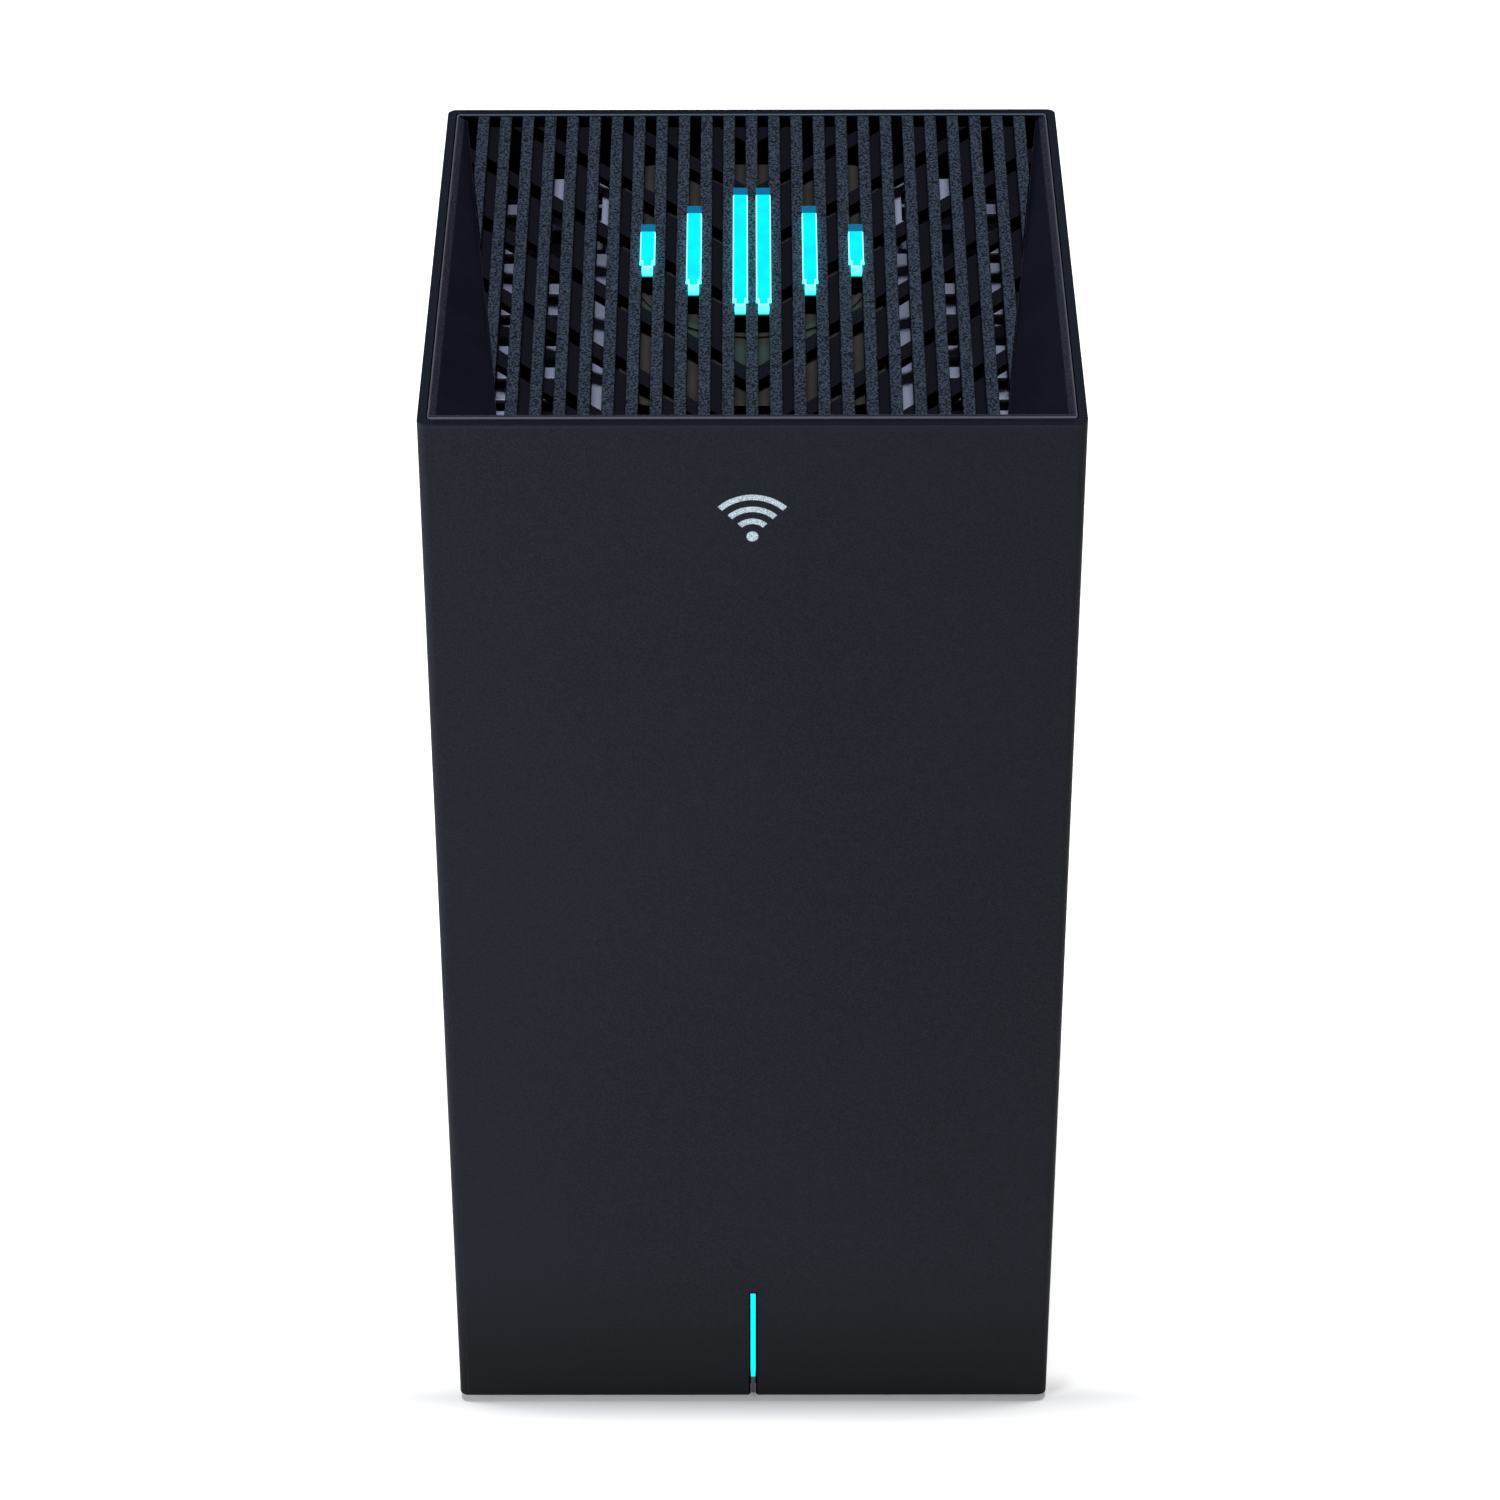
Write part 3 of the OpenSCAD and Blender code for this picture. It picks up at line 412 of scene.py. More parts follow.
def status_gap_shade(made, sleeve_lo):
    """Share of the painted shadow in the gap round the status light, on the sleeve's front face."""
    across = made.maths("ABSOLUTE", made.axis("X"))
    top = sleeve_lo.z + STATUS_HEIGHT
    beside = made.span(across, STATUS_HALF + STATUS_GAP_SHADE[0], STATUS_HALF + STATUS_GAP_SHADE[1])
    below = made.span(made.axis("Z"), top + STATUS_GAP_SHADE[0], top + STATUS_GAP_SHADE[1])
    ahead = made.span(made.axis("Y"), sleeve_lo.y + STATUS_GAP_SHADE[0], sleeve_lo.y + STATUS_GAP_SHADE[1])
    return made.maths("MULTIPLY", ahead, made.maths("MULTIPLY", beside, below))


def shell_material(lo, hi):
    """Sleeve: navy black with a leathery grain, painted shade at the foot, a painted highlight line below
    the rim, a painted shadow round the status light, a rim painted darker as a dark reflection and bluer at
    the sides as a painted sheen, and pale edges of wear and painted highlight.
    """
    made = Shader("shell_plastic")
    colour = tone(22, 24, 30)
    up = made.axis("Z")
    drift = made.clouds(60 * MM, 2)
    leather = made.cells(0.55 * MM, "SMOOTH_F1")
    spark = made.noise(0.22 * MM, 2)
    body = made.mix(drift, scaled(colour, 0.9), scaled(colour, 1.1))
    dotted = made.mix(made.span(spark, 0.4, 0.62), body, scaled(colour, 1.6))
    # Painted shade: the sleeve's colour darkens towards its foot.
    foot = made.span(up, lo.z + FOOT_SHADE[0], lo.z + FOOT_SHADE[1])
    foot_shaded = made.mix(foot, tone(17, 18, 20), dotted)
    worn = made.edges(0.3 * MM, 5 * MM)
    # Painted highlight: a pale bluish line just below the top rim.
    lined = made.mix(made.span(up, hi.z - RIM_HIGHLIGHT[0], hi.z - RIM_HIGHLIGHT[1]), foot_shaded, tone(26, 33, 41))
    # Paler rounded edges: wear, and also painted highlight along the rims and corners.
    worn_and_highlit_edges = made.mix(worn, lined, tone(54, 58, 70))
    # Painted shadow: a near-black line, without sheen, in the gap round the status light.
    gap_shade = status_gap_shade(made, lo)
    faced = made.mix(gap_shade, worn_and_highlit_edges, tone(1, 1, 1))
    made.surface("Specular IOR Level", made.span(gap_shade, 0.0, 1.0, 0.06, 0.0))
    # Painted reflection: the rim's top and rounded edge are darker and bluish, standing in for a dark
    # reflection, and the side rims are bluer, a painted sheen.
    from_side = made.maths("SUBTRACT", hi.x, made.maths("ABSOLUTE", made.axis("X")))
    cut = made.mix(made.span(spark, 0.35, 0.7), tone(9, 12, 18), tone(14, 18, 26))
    bluish_reflection = made.mix(made.span(from_side, *SIDE_RIM_SHEEN), cut, tone(16, 22, 31))
    on_rim = made.span(up, hi.z - RIM_REFLECTION[0], hi.z - RIM_REFLECTION[1])
    made.surface("Base Color", made.mix(on_rim, faced, bluish_reflection))
    patchy = made.clouds(14 * MM, 4, 0.53, 0.57)
    made.surface("Roughness", made.maths("SUBTRACT", patchy, made.maths("MULTIPLY", worn, 0.12)))
    coarse = made.bump(leather, 0.03 * MM)
    made.surface("Normal", made.bump(spark, 0.012 * MM, coarse))
    return made.material


def bezel_material(lo, hi):
    """Bezel: darker and smoother than the sleeve, with faint mould flow, a paler border of painted sheen,
    painted highlight lines on its upper rims, and pale edges of wear and painted highlight.
    """
    made = Shader("bezel_plastic", Specular_IOR_Level=0.03)
    colour = tone(10, 12, 23)
    flow = made.clouds(18 * MM, 4, stretch=(0.4, 1, 1))
    dust = made.noise(0.3 * MM, 2)
    body = made.mix(flow, scaled(colour, 0.85), scaled(colour, 1.2))
    worn = made.edges(0.2 * MM, 3 * MM)
    speck = made.span(dust, 0.4, 0.6)
    from_side = made.maths("SUBTRACT", hi.x, made.maths("ABSOLUTE", made.axis("X")))
    from_front = made.maths("SUBTRACT", made.axis("Y"), lo.y)
    # Painted sheen: a paler speckled border along the sides and front, where the upper rims catch the
    # light.
    border = made.maths("MAXIMUM", made.span(from_side, *SHEEN_BORDER_SIDE), made.span(from_front, *SHEEN_BORDER_FRONT))
    border_sheened = made.mix(border, body, made.mix(speck, tone(20, 23, 31), tone(40, 43, 52)))
    # Painted highlight: a fine pale line on the upper rims at the sides and front, and a bluish one at the
    # rear.
    top = made.span(made.axis("Z"), hi.z - HIGHLIGHT_TOP[0], hi.z - HIGHLIGHT_TOP[1])
    line = made.maths("MAXIMUM", made.span(from_side, *HIGHLIGHT_SIDE), made.span(from_front, *HIGHLIGHT_FRONT))
    lined = made.mix(made.maths("MULTIPLY", top, line), border_sheened, tone(74, 75, 88))
    from_rear = made.maths("SUBTRACT", hi.y, made.axis("Y"))
    rear = made.maths("MULTIPLY", top, made.span(from_rear, *HIGHLIGHT_REAR))
    bluish_reflection = made.mix(rear, lined, tone(66, 80, 98))
    # Paler rounded edges: wear, and also painted highlight.
    made.surface("Base Color", made.mix(worn, bluish_reflection, tone(84, 84, 94)))
    made.surface("Roughness", made.clouds(7 * MM, 4, 0.45, 0.55))
    made.surface("Normal", made.bump(dust, 0.006 * MM))
    return made.material


def grille_material(top, rear):
    """Grille: charcoal slats with a coarse spark-eroded texture, over a smoother lattice painted darker
    with depth as painted shade.
    """
    made = Shader("grille_plastic", Specular_IOR_Level=0.06)
    colour = tone(34, 41, 53)
    grit = made.noise(0.36 * MM, 1)
    pits = made.cells(0.3 * MM)
    drift = made.clouds(30 * MM, 2)
    body = made.mix(drift, scaled(colour, 0.88), scaled(colour, 1.1))
    dotted = made.mix(made.span(grit, 0.41, 0.59), scaled(colour, 0.1), scaled(colour, 2.0))
    slope = made.maths("MULTIPLY", made.maths("SUBTRACT", rear, made.axis("Y")), math.tan(GRILLE_SLOPE))
    depth = made.maths("SUBTRACT", made.maths("SUBTRACT", top, slope), made.axis("Z"))
    slat = made.mix(0.85, body, dotted)
    # Painted shade: the lattice under the slats darkens with depth below the slat tops.
    lattice_shaded = made.mix(made.span(depth, *LATTICE_SHADE), slat, tone(8, 10, 19))
    worn = made.edges(0.12 * MM, 2 * MM)
    made.surface("Base Color", made.mix(made.maths("MULTIPLY", worn, 0.5), lattice_shaded, scaled(colour, 1.5)))
    made.surface("Roughness", made.span(grit, 0.35, 0.65, 0.62, 0.5))
    made.surface("Normal", made.bump(pits, 0.02 * MM, made.bump(grit, 0.09 * MM)))
    return made.material


def glowing_bar_material():
    """Light bar: cyan with a pale outline, walls that shine on the slats, and a dark blue tail."""
    made = Shader("light_clear", Specular_IOR_Level=0.1)
    ahead = made.span(made.attribute("from_rear"), 0.95 * TAIL_LENGTH, 1.05 * TAIL_LENGTH)
    upper = made.span(made.attribute("below_top"), *BAR_LIT)
    lit = made.maths("MULTIPLY", ahead, upper)
    cloud = made.clouds(5 * MM, 2)
    upright = made.upright()
    wall = made.span(upright, 0.3, 0.15)
    core = made.mix(cloud, (0.0, 0.6, 0.7, 1), (0.0, 0.74, 0.84, 1))
    pale = made.mix(made.span(upright, 0.985, 0.96), core, (0.5, 1.0, 1.0, 1))
    unlit = made.mix(ahead, tone(6, 96, 134), tone(2, 6, 9))
    made.surface("Base Color", made.mix(lit, unlit, tone(0, 120, 128)))
    made.surface("Emission Color", made.mix(wall, pale, (0.05, 1.0, 1.0, 1)))
    strength = made.span(wall, 0.0, 1.0, 1.0, WALL_GLOW)
    made.surface("Emission Strength", made.maths("MULTIPLY", lit, strength))
    made.surface("Roughness", made.clouds(1.5 * MM, 3, 0.3, 0.45))
    made.surface("Normal", made.bump(made.noise(0.4 * MM, 2), 0.004 * MM))
    return made.material


def status_light_material(bottom):
    """Status light: lit above its foot, grey and unlit below."""
    made = Shader("status_clear", Specular_IOR_Level=0.1)
    start = bottom + STATUS_LIT_FROM
    lit = made.span(made.axis("Z"), start - STATUS_FADE, start + STATUS_FADE)
    cloud = made.clouds(3 * MM, 2)
    made.surface("Base Color", made.mix(lit, tone(58, 60, 64), tone(0, 60, 64)))
    made.surface("Emission Color", made.mix(cloud, (0.0, 0.9, 0.94, 1), (0.0, 1.0, 1.0, 1)))
    made.surface("Emission Strength", made.maths("MULTIPLY", lit, STATUS_GLOW))
    made.surface("Roughness", made.clouds(0.8 * MM, 3, 0.3, 0.45))
    made.surface("Normal", made.bump(made.noise(0.3 * MM, 2), 0.004 * MM))
    return made.material


def circuit_board_material():
    """Solder mask over copper: paler tracks in steps, plated holes and woven glass."""
    made = Shader("circuit_board", Specular_IOR_Level=0.5)
    mask = tone(16, 66, 48)
    tracks = made.nodes.new("ShaderNodeTexBrick")
    tracks.inputs["Scale"].default_value = 1 / (2.4 * MM)
    tracks.inputs["Mortar Size"].default_value = 0.06
    tracks.inputs["Brick Width"].default_value = 3.1
    tracks.inputs["Row Height"].default_value = 0.42
    turned = made.nodes.new("ShaderNodeMapping")
    turned.inputs["Rotation"].default_value = (0, math.radians(90), math.radians(90))
    made.links.new(made.place, turned.inputs["Vector"])
    made.links.new(turned.outputs["Vector"], tracks.inputs["Vector"])
    crowded = made.span(made.noise(16 * MM, 2), 0.42, 0.5)
    copper = made.maths("MULTIPLY", tracks.outputs["Fac"], crowded)
    holes = made.span(made.cells(3.4 * MM), 0.13, 0.1)
    masked = made.mix(copper, mask, scaled(mask, 1.9))
    plated = made.mix(holes, masked, tone(190, 160, 90))
    worn = made.edges(0.15 * MM, 2 * MM)
    made.surface("Base Color", made.mix(worn, plated, tone(120, 130, 96)))
    made.surface("Roughness", made.clouds(6 * MM, 3, 0.28, 0.42))
    weave = made.bump(made.noise(0.5 * MM, 2, (1, 1, 0.3)), 0.004 * MM)
    made.surface("Normal", made.bump(copper, 0.03 * MM, weave))
    return made.material


def emblem_material():
    """Emblem: satin silver with a fine sandblasted sparkle."""
    made = Shader("emblem_metal", Metallic=0.12)
    colour = tone(220, 244, 252)
    blast = made.cells(0.16 * MM)
    sparkle = made.span(blast, 0.15, 0.6)
    body = made.mix(sparkle, colour, tone(146, 154, 160))
    worn = made.edges(0.1 * MM, 1 * MM)
    made.surface("Base Color", made.mix(worn, body, tone(228, 230, 232)))
    made.surface("Roughness", made.span(blast, 0.1, 0.6, 0.42, 0.6))
    made.surface("Normal", made.bump(blast, 0.01 * MM))
    return made.material


def rubber_material():
    """Rubber foot: dull black with a fine bloom of dust."""
    made = Shader("foot_rubber", Specular_IOR_Level=0.3)
    bloom = made.span(made.noise(2.2 * MM, 5), 0.35, 0.75)
    worn = made.edges(0.3 * MM, 2 * MM)
    dusty = made.mix(bloom, tone(18, 18, 20), tone(36, 36, 38))
    made.surface("Base Color", made.mix(worn, dusty, tone(58, 58, 60)))
    made.surface("Roughness", made.span(bloom, 0.0, 1.0, 0.75, 0.9))
    made.surface("Normal", made.bump(made.noise(0.25 * MM, 3), 0.012 * MM))
    return made.material


def ribbon_material():
    """Flat flexible cable: white film with conductors that show through as grey lines."""
    made = Shader("ribbon_film", Specular_IOR_Level=0.5)
    step = made.maths("FRACT", made.maths("MULTIPLY", made.axis("Y"), 1 / (1.0 * MM)), 0)
    line = made.span(made.maths("ABSOLUTE", made.maths("SUBTRACT", step, 0.5)), 0.2, 0.3)
    film = made.mix(made.clouds(4 * MM, 3), tone(214, 213, 206), tone(228, 227, 222))
    worn = made.edges(0.1 * MM, 1 * MM)
    lined = made.mix(line, tone(168, 170, 172), film)
    made.surface("Base Color", made.mix(worn, lined, tone(238, 238, 236)))
    made.surface("Roughness", made.clouds(1.2 * MM, 3, 0.3, 0.42))
    made.surface("Normal", made.bump(line, 0.02 * MM))
    return made.material


def label_material(lo, hi):
    """Blank label: pale satin film with a thin grey border line and slight yellowing."""
    made = Shader("label_film", Specular_IOR_Level=0.4)
    middle = (lo + hi) / 2
    reach = []
    for letter, centre, half in (("X", middle.x, (hi.x - lo.x) / 2), ("Y", middle.y, (hi.y - lo.y) / 2)):
        away = made.maths("ABSOLUTE", made.maths("SUBTRACT", made.axis(letter), centre))
        reach.append(made.maths("SUBTRACT", half, away))
    inset = made.maths("MINIMUM", reach[0], reach[1])
    inside = made.span(inset, 0.7 * MM, 0.8 * MM)
    outside = made.span(inset, 1.1 * MM, 1.0 * MM)
    border = made.maths("MULTIPLY", inside, outside)
    film = made.mix(made.clouds(6 * MM, 4), tone(190, 192, 194), tone(206, 206, 202))
    made.surface("Base Color", made.mix(border, film, tone(96, 98, 102)))
    made.surface("Roughness", made.clouds(1.6 * MM, 3, 0.4, 0.5))
    made.surface("Normal", made.bump(made.noise(0.2 * MM, 3), 0.003 * MM))
    return made.material


def make_materials():
    """The finish of each of the record's slots, by name, and the status light's own one."""
    sleeve_lo, sleeve_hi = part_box("outer_sleeve")
    _, grille_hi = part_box("top_grille")
    label_lo, label_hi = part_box("blank_label")
    drawn_y = (1, 0.04, 1)
    return {
        "shell_plastic": shell_material(sleeve_lo, sleeve_hi),
        "bezel_plastic": bezel_material(*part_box("top_bezel")),
        "grille_plastic": grille_material(grille_hi.z, grille_hi.y),
        "light_clear": glowing_bar_material(),
        "status_clear": status_light_material(sleeve_lo.z),
        "light_box_plastic": moulded("light_box_plastic", tone(30, 28, 26), 0.45, depth=0.008 * MM,
                                     wear=0.3),
        "diffuser_plastic": moulded("diffuser_plastic", tone(216, 221, 224), 0.5, speckle=0.04, mottle=0.03,
                                    wear=0.05, Subsurface_Weight=0.2),
        "circuit_board": circuit_board_material(),
        "led_package": moulded("led_package", tone(236, 230, 200), 0.35, speckle=0.05, mottle=0.04,
                               wear=0.05),
        "ribbon_film": ribbon_material(),
        "socket_plastic": moulded("socket_plastic", tone(226, 221, 206), 0.45, speckle=0.05, mottle=0.05,
                                  wear=0.08),
        "emblem_metal": emblem_material(),
        "chassis_plastic": moulded("chassis_plastic", tone(26, 27, 30), 0.5, wear=0.8),
        "chip_plastic": moulded("chip_plastic", tone(34, 35, 38), 0.42, grain=0.15 * MM, depth=0.008 * MM),
        "shield_steel": metal("shield_steel", tone(150, 152, 156), 0.36, stretch=(1, 0.05, 1)),
        "capacitor_can": metal("capacitor_can", tone(186, 189, 194), 0.28, stretch=(0.05, 1, 1)),
        "thermal_pad": moulded("thermal_pad", tone(126, 152, 184), 0.7, grain=0.6 * MM, speckle=0.1),
        "sink_aluminium": metal("sink_aluminium", tone(140, 148, 174), 0.45, grain=0.25 * MM,
                                metallic=0.3),
        "screw_steel": metal("screw_steel", tone(150, 151, 154), 0.3, stretch=(1, 1, 1)),
        "cable_jacket": moulded("cable_jacket", tone(28, 28, 31), 0.4, grain=0.2 * MM, depth=0.006 * MM),
        "contact_gold": metal("contact_gold", tone(226, 186, 96), 0.22, stretch=drawn_y),
        "panel_plastic": moulded("panel_plastic", tone(25, 27, 32), 0.52, grain=0.3 * MM, depth=0.03 * MM,
                                 specular=0.15, wear=1.2),
        "port_plastic": moulded("port_plastic", tone(18, 18, 20), 0.4, grain=0.2 * MM, depth=0.006 * MM,
                                specular=0.2, wear=1.2),
        "usb_blue": moulded("usb_blue", tone(46, 112, 190), 0.38, grain=0.2 * MM, depth=0.004 * MM,
                            wear=0.3),
        "button_plastic": moulded("button_plastic", tone(40, 42, 49), 0.4, grain=0.3 * MM, depth=0.008 * MM,
                                  wear=0.9),
        "reset_red": moulded("reset_red", tone(196, 44, 36), 0.4, grain=0.2 * MM, depth=0.004 * MM,
                             wear=0.2),
        "base_plastic": moulded("base_plastic", tone(28, 29, 33), 0.5, grain=0.4 * MM, depth=0.03 * MM,
                                specular=0.3, wear=1.0),
        "foot_rubber": rubber_material(),
        "label_film": label_material(label_lo, label_hi),
    }


# ---------------------------------------------------------------- edges of the CAD nodes


def sharp_by_angle():
    """Geometry nodes that keep faces smooth, apart from folds over 40 degrees."""
    tree = bpy.data.node_groups.new("sharp_by_angle", "GeometryNodeTree")
    tree.interface.new_socket("Geometry", in_out="INPUT", socket_type="NodeSocketGeometry")
    tree.interface.new_socket("Geometry", in_out="OUTPUT", socket_type="NodeSocketGeometry")
    enter = tree.nodes.new("NodeGroupInput")
    leave = tree.nodes.new("NodeGroupOutput")
    smooth = tree.nodes.new("GeometryNodeSetShadeSmooth")
    smooth.domain = "FACE"
    sharp = tree.nodes.new("GeometryNodeSetShadeSmooth")
    sharp.domain = "EDGE"
    sharp.inputs["Shade Smooth"].default_value = False
    angle = tree.nodes.new("GeometryNodeInputMeshEdgeAngle")
    fold = tree.nodes.new("FunctionNodeCompare")
    fold.data_type = "FLOAT"
    fold.operation = "GREATER_THAN"
    fold.inputs["B"].default_value = math.radians(40)
    tree.links.new(enter.outputs["Geometry"], smooth.inputs["Geometry"])
    tree.links.new(smooth.outputs["Geometry"], sharp.inputs["Geometry"])
    tree.links.new(angle.outputs["Unsigned Angle"], fold.inputs["A"])
    tree.links.new(fold.outputs["Result"], sharp.inputs["Selection"])
    tree.links.new(sharp.outputs["Geometry"], leave.inputs["Geometry"])
    return tree


def round_edges(piece, width, segments=2, corners=None):
    """Joins the piece's loose faces and rounds its edges, or only those between the given corners."""
    weld = piece.modifiers.new("weld", "WELD")
    weld.merge_threshold = WELD
    flat = piece.modifiers.new("flat", "DECIMATE")
    flat.decimate_type = "DISSOLVE"
    flat.angle_limit = math.radians(0.5)
    if width > 0:
        bevel = piece.modifiers.new("bevel", "BEVEL")
        bevel.width = width
        bevel.segments = segments
        bevel.limit_method = "ANGLE"
        bevel.angle_limit = math.radians(30)
        if corners is not None:
            group = piece.vertex_groups.new(name="rounded")
            group.add(corners, 1.0, "REPLACE")
            bevel.limit_method = "VGROUP"
            bevel.vertex_group = group.name
    shade(piece)


def shade(piece):
    folds = piece.modifiers.new("folds", "NODES")
    folds.node_group = sharp_folds
    normals = piece.modifiers.new("normals", "WEIGHTED_NORMAL")
    normals.keep_sharp = True


def corners_where(node, test):
    return [v.index for v in frame["nodes"][node].data.vertices if test(v.co)]


def round_sleeve():
    """The sleeve's upper and lower rims, apart from the corners beside the status light's slot."""
    lo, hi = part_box("outer_sleeve")

    def on_rim(place):
        return place.z > hi.z - NEAR or (place.z < lo.z + NEAR and abs(place.x) > STATUS_CLEAR)

    round_edges(frame["nodes"]["outer_sleeve"], SLEEVE_EDGE, 3, corners_where("outer_sleeve", on_rim))


def round_bezel():
    """The bezel's upper rims."""
    _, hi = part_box("top_bezel")
    round_edges(frame["nodes"]["top_bezel"], BEZEL_EDGE, 2,
                corners_where("top_bezel", lambda place: place.z > hi.z - NEAR))


def round_grille():
    """The upper edges of the slats, which lie in one sloping plane."""
    _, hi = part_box("top_grille")

    def on_top(place):
        plane = hi.z - (hi.y - place.y) * math.tan(GRILLE_SLOPE)
        return abs(place.z - plane) < SLAT_TOP

    round_edges(frame["nodes"]["top_grille"], SLAT_EDGE, 2, corners_where("top_grille", on_top))


def round_sink(node):
    """The top edges of the fins' flanges."""
    _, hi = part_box(node)
    round_edges(frame["nodes"][node], FIN_EDGE, 2,
                corners_where(node, lambda place: place.z > hi.z - NEAR))


def round_base():
    """The edges of the underside, leaving out the label's shallow recess."""
    lo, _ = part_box("base_plate")
    label_lo, label_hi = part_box("blank_label")

    def on_underside(place):
        beyond = max(abs(place.x) - label_hi.x, label_lo.y - place.y, place.y - label_hi.y)
        return place.z < lo.z + NEAR and beyond > LABEL_CLEAR

    round_edges(frame["nodes"]["base_plate"], BASE_EDGE, 2, corners_where("base_plate", on_underside))


# Widths of the rounded edges of the other CAD nodes, in millimetres
EDGE_WIDTHS = {
    "light_box": 0.3, "light_diffuser": 0.1, "led_board": 0.1, "bar_leds": 0.15,
    "led_ribbon": 0.05, "ribbon_sockets": 0.15, "clamp_brackets": 0.12,
    "front_emblem": 0.06, "status_light_guide": 0.1, "status_led_board": 0.1, "status_led": 0.15,
    "inner_chassis": 0.0, "main_board": 0.12, "processor": 0.2, "memory_chips": 0.12,
    "radio_shields": 0.12, "power_inductors": 0.4, "capacitors": 0.35, "thermal_pads": 0.15,
    "antenna_boards": 0.1, "antenna_carriers": 0.2, "coax_plugs": 0.2,
    "io_panel": 0.25, "wan_jack": 0.35, "lan_jack_1": 0.35, "lan_jack_2": 0.35,
    "usb_shell": 0.2, "usb_tongue": 0.15, "dc_jack": 0.3, "dc_pin": 0.0,
    "power_switch": 0.2, "pairing_switch": 0.2, "reset_button": 0.15, "reset_switch": 0.2,
    "blank_label": 0.03,
}


def finish_cad_nodes():
    round_sleeve()
    round_bezel()
    round_grille()
    round_base()
    round_sink("heat_sink_left")
    round_sink("heat_sink_right")
    for node, width in EDGE_WIDTHS.items():
        round_edges(frame["nodes"][node], width * MM)


# ---------------------------------------------------------------- pieces built here


def make_piece(name, mesh, material, node):
    """A new piece that stands for a CAD node and rides on the node's own body."""
    made = new_object(name, mesh)
    made.data.materials.append(material)
    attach(made, frame["nodes"][node]["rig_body"])
    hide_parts(node)
    return made


def light_bars():
    """The six bars, each point knowing how far it is from its own bar's rear end."""
    bm = bmesh.new()
    bm.from_mesh(frame["nodes"]["light_bars"].data)
    bmesh.ops.remove_doubles(bm, verts=bm.verts, dist=WELD)
    from_rear = bm.verts.layers.float.new("from_rear")
    below_top = bm.verts.layers.float.new("below_top")
    level = Matrix.Rotation(-GRILLE_SLOPE, 3, "X")
    for places in islands("light_bars"):
        lo, hi = box_of(places)
        _, corner = box_of([level @ place for place in places])
        for vertex in bm.verts:
            if lo.x - NEAR <= vertex.co.x <= hi.x + NEAR:
                along = level @ vertex.co
                vertex[from_rear] = corner.y - along.y
                vertex[below_top] = corner.z - along.z
    mesh = mesh_from("light_bars_lit", bm)
    depths = mesh.attributes["below_top"].data
    outline = [index for index, depth in enumerate(depths) if depth.value < BAR_TOP]
    made = make_piece("light_bars_lit", mesh, materials["light_clear"], "light_bars")
    round_edges(made, BAR_EDGE, 2, outline)


def join_rings(bm, rings):
    """Walls between neighbouring rings of equal length, and a face over each end."""
    for lower, upper in zip(rings, rings[1:]):
        for step, corner in enumerate(lower):
            after = (step + 1) % len(lower)
            bm.faces.new((corner, lower[after], upper[after], upper[step]))
    bm.faces.new(rings[0])
    bm.faces.new(rings[-1])


def plain_turn(angle, radius, height):
    """The radius as it is, for a revolve without a thread."""
    return radius


def revolve(bm, profile, sides, turn):
    """Spins (radius, height) points round Z. turn(angle, radius, height) may change a radius."""
    rings = []
    for radius, height in profile:
        ring = []
        for step in range(sides):
            angle = 2 * math.pi * step / sides
            reach = turn(angle, radius, height)
            ring.append(bm.verts.new((reach * math.cos(angle), reach * math.sin(angle), height)))
        rings.append(ring)
    join_rings(bm, rings)


def drive_cutter(depth):
    """Cross-shaped wedge that cuts a screw's drive, from just outside the head inwards."""
    bm = bmesh.new()
    for turned in (0, 90):
        spin = Matrix.Rotation(math.radians(turned), 4, "Z")
        for end, share in ((-MM, 1.0), (depth, DRIVE_TAPER)):
            for sx, sy in ((-1, -1), (1, -1), (1, 1), (-1, 1)):
                bm.verts.new(spin @ Vector((sx * DRIVE_REACH * share, sy * DRIVE_WIDTH / 2, end)))
    bm.verts.ensure_lookup_table()
    for first in (0, 8):
        v = bm.verts[first:first + 8]
        for side in range(4):
            after = (side + 1) % 4
            bm.faces.new((v[side], v[after], v[4 + after], v[4 + side]))
        bm.faces.new(v[:4])
        bm.faces.new(v[4:])
    return new_object("drive_cutter", mesh_from("drive_cutter", bm))


def screw_mesh(name, head_radius, head_height, radius, length):
    """Screw with its head's face at z = 0 and its tip at z = length, with a thread and a cross drive."""
    bm = bmesh.new()
    rounded = 0.3 * HEAD_EDGE
    profile = [(head_radius - HEAD_EDGE, 0), (head_radius - rounded, rounded), (head_radius, HEAD_EDGE)]
    profile += [(head_radius, head_height - HEAD_RIM), (head_radius - HEAD_RIM, head_height)]
    profile += [(radius, head_height), (radius, head_height + SHANK)]
    first = head_height + THREAD_START
    steps = int((length - head_height - 2 * THREAD_START) / THREAD_STEP)
    for step in range(steps):
        profile.append((radius - THREAD_DEPTH / 2, first + step * THREAD_STEP))
    profile += [(radius - THREAD_DEPTH, length - TIP_LENGTH), (radius - TIP_TAPER, length)]

    def thread(angle, reach, height):
        if not head_height + THREAD_CLEAR < height < length - THREAD_CLEAR:
            return reach
        turns = height / THREAD_PITCH - angle / (2 * math.pi)
        return radius - THREAD_DEPTH * abs(2 * (turns % 1) - 1)

    revolve(bm, profile, THREAD_SIDES, thread)
    blank = new_object(name, mesh_from(name, bm))
    cutter = drive_cutter(min(DRIVE_DEPTH, 0.75 * head_height))
    drive = blank.modifiers.new("drive", "BOOLEAN")
    drive.operation = "DIFFERENCE"
    drive.solver = "EXACT"
    drive.use_self = True
    drive.object = cutter
    bpy.context.view_layer.update()
    cut = bpy.data.meshes.new_from_object(blank.evaluated_get(bpy.context.evaluated_depsgraph_get()))
    bpy.data.objects.remove(blank)
    bpy.data.objects.remove(cutter)
    return cut


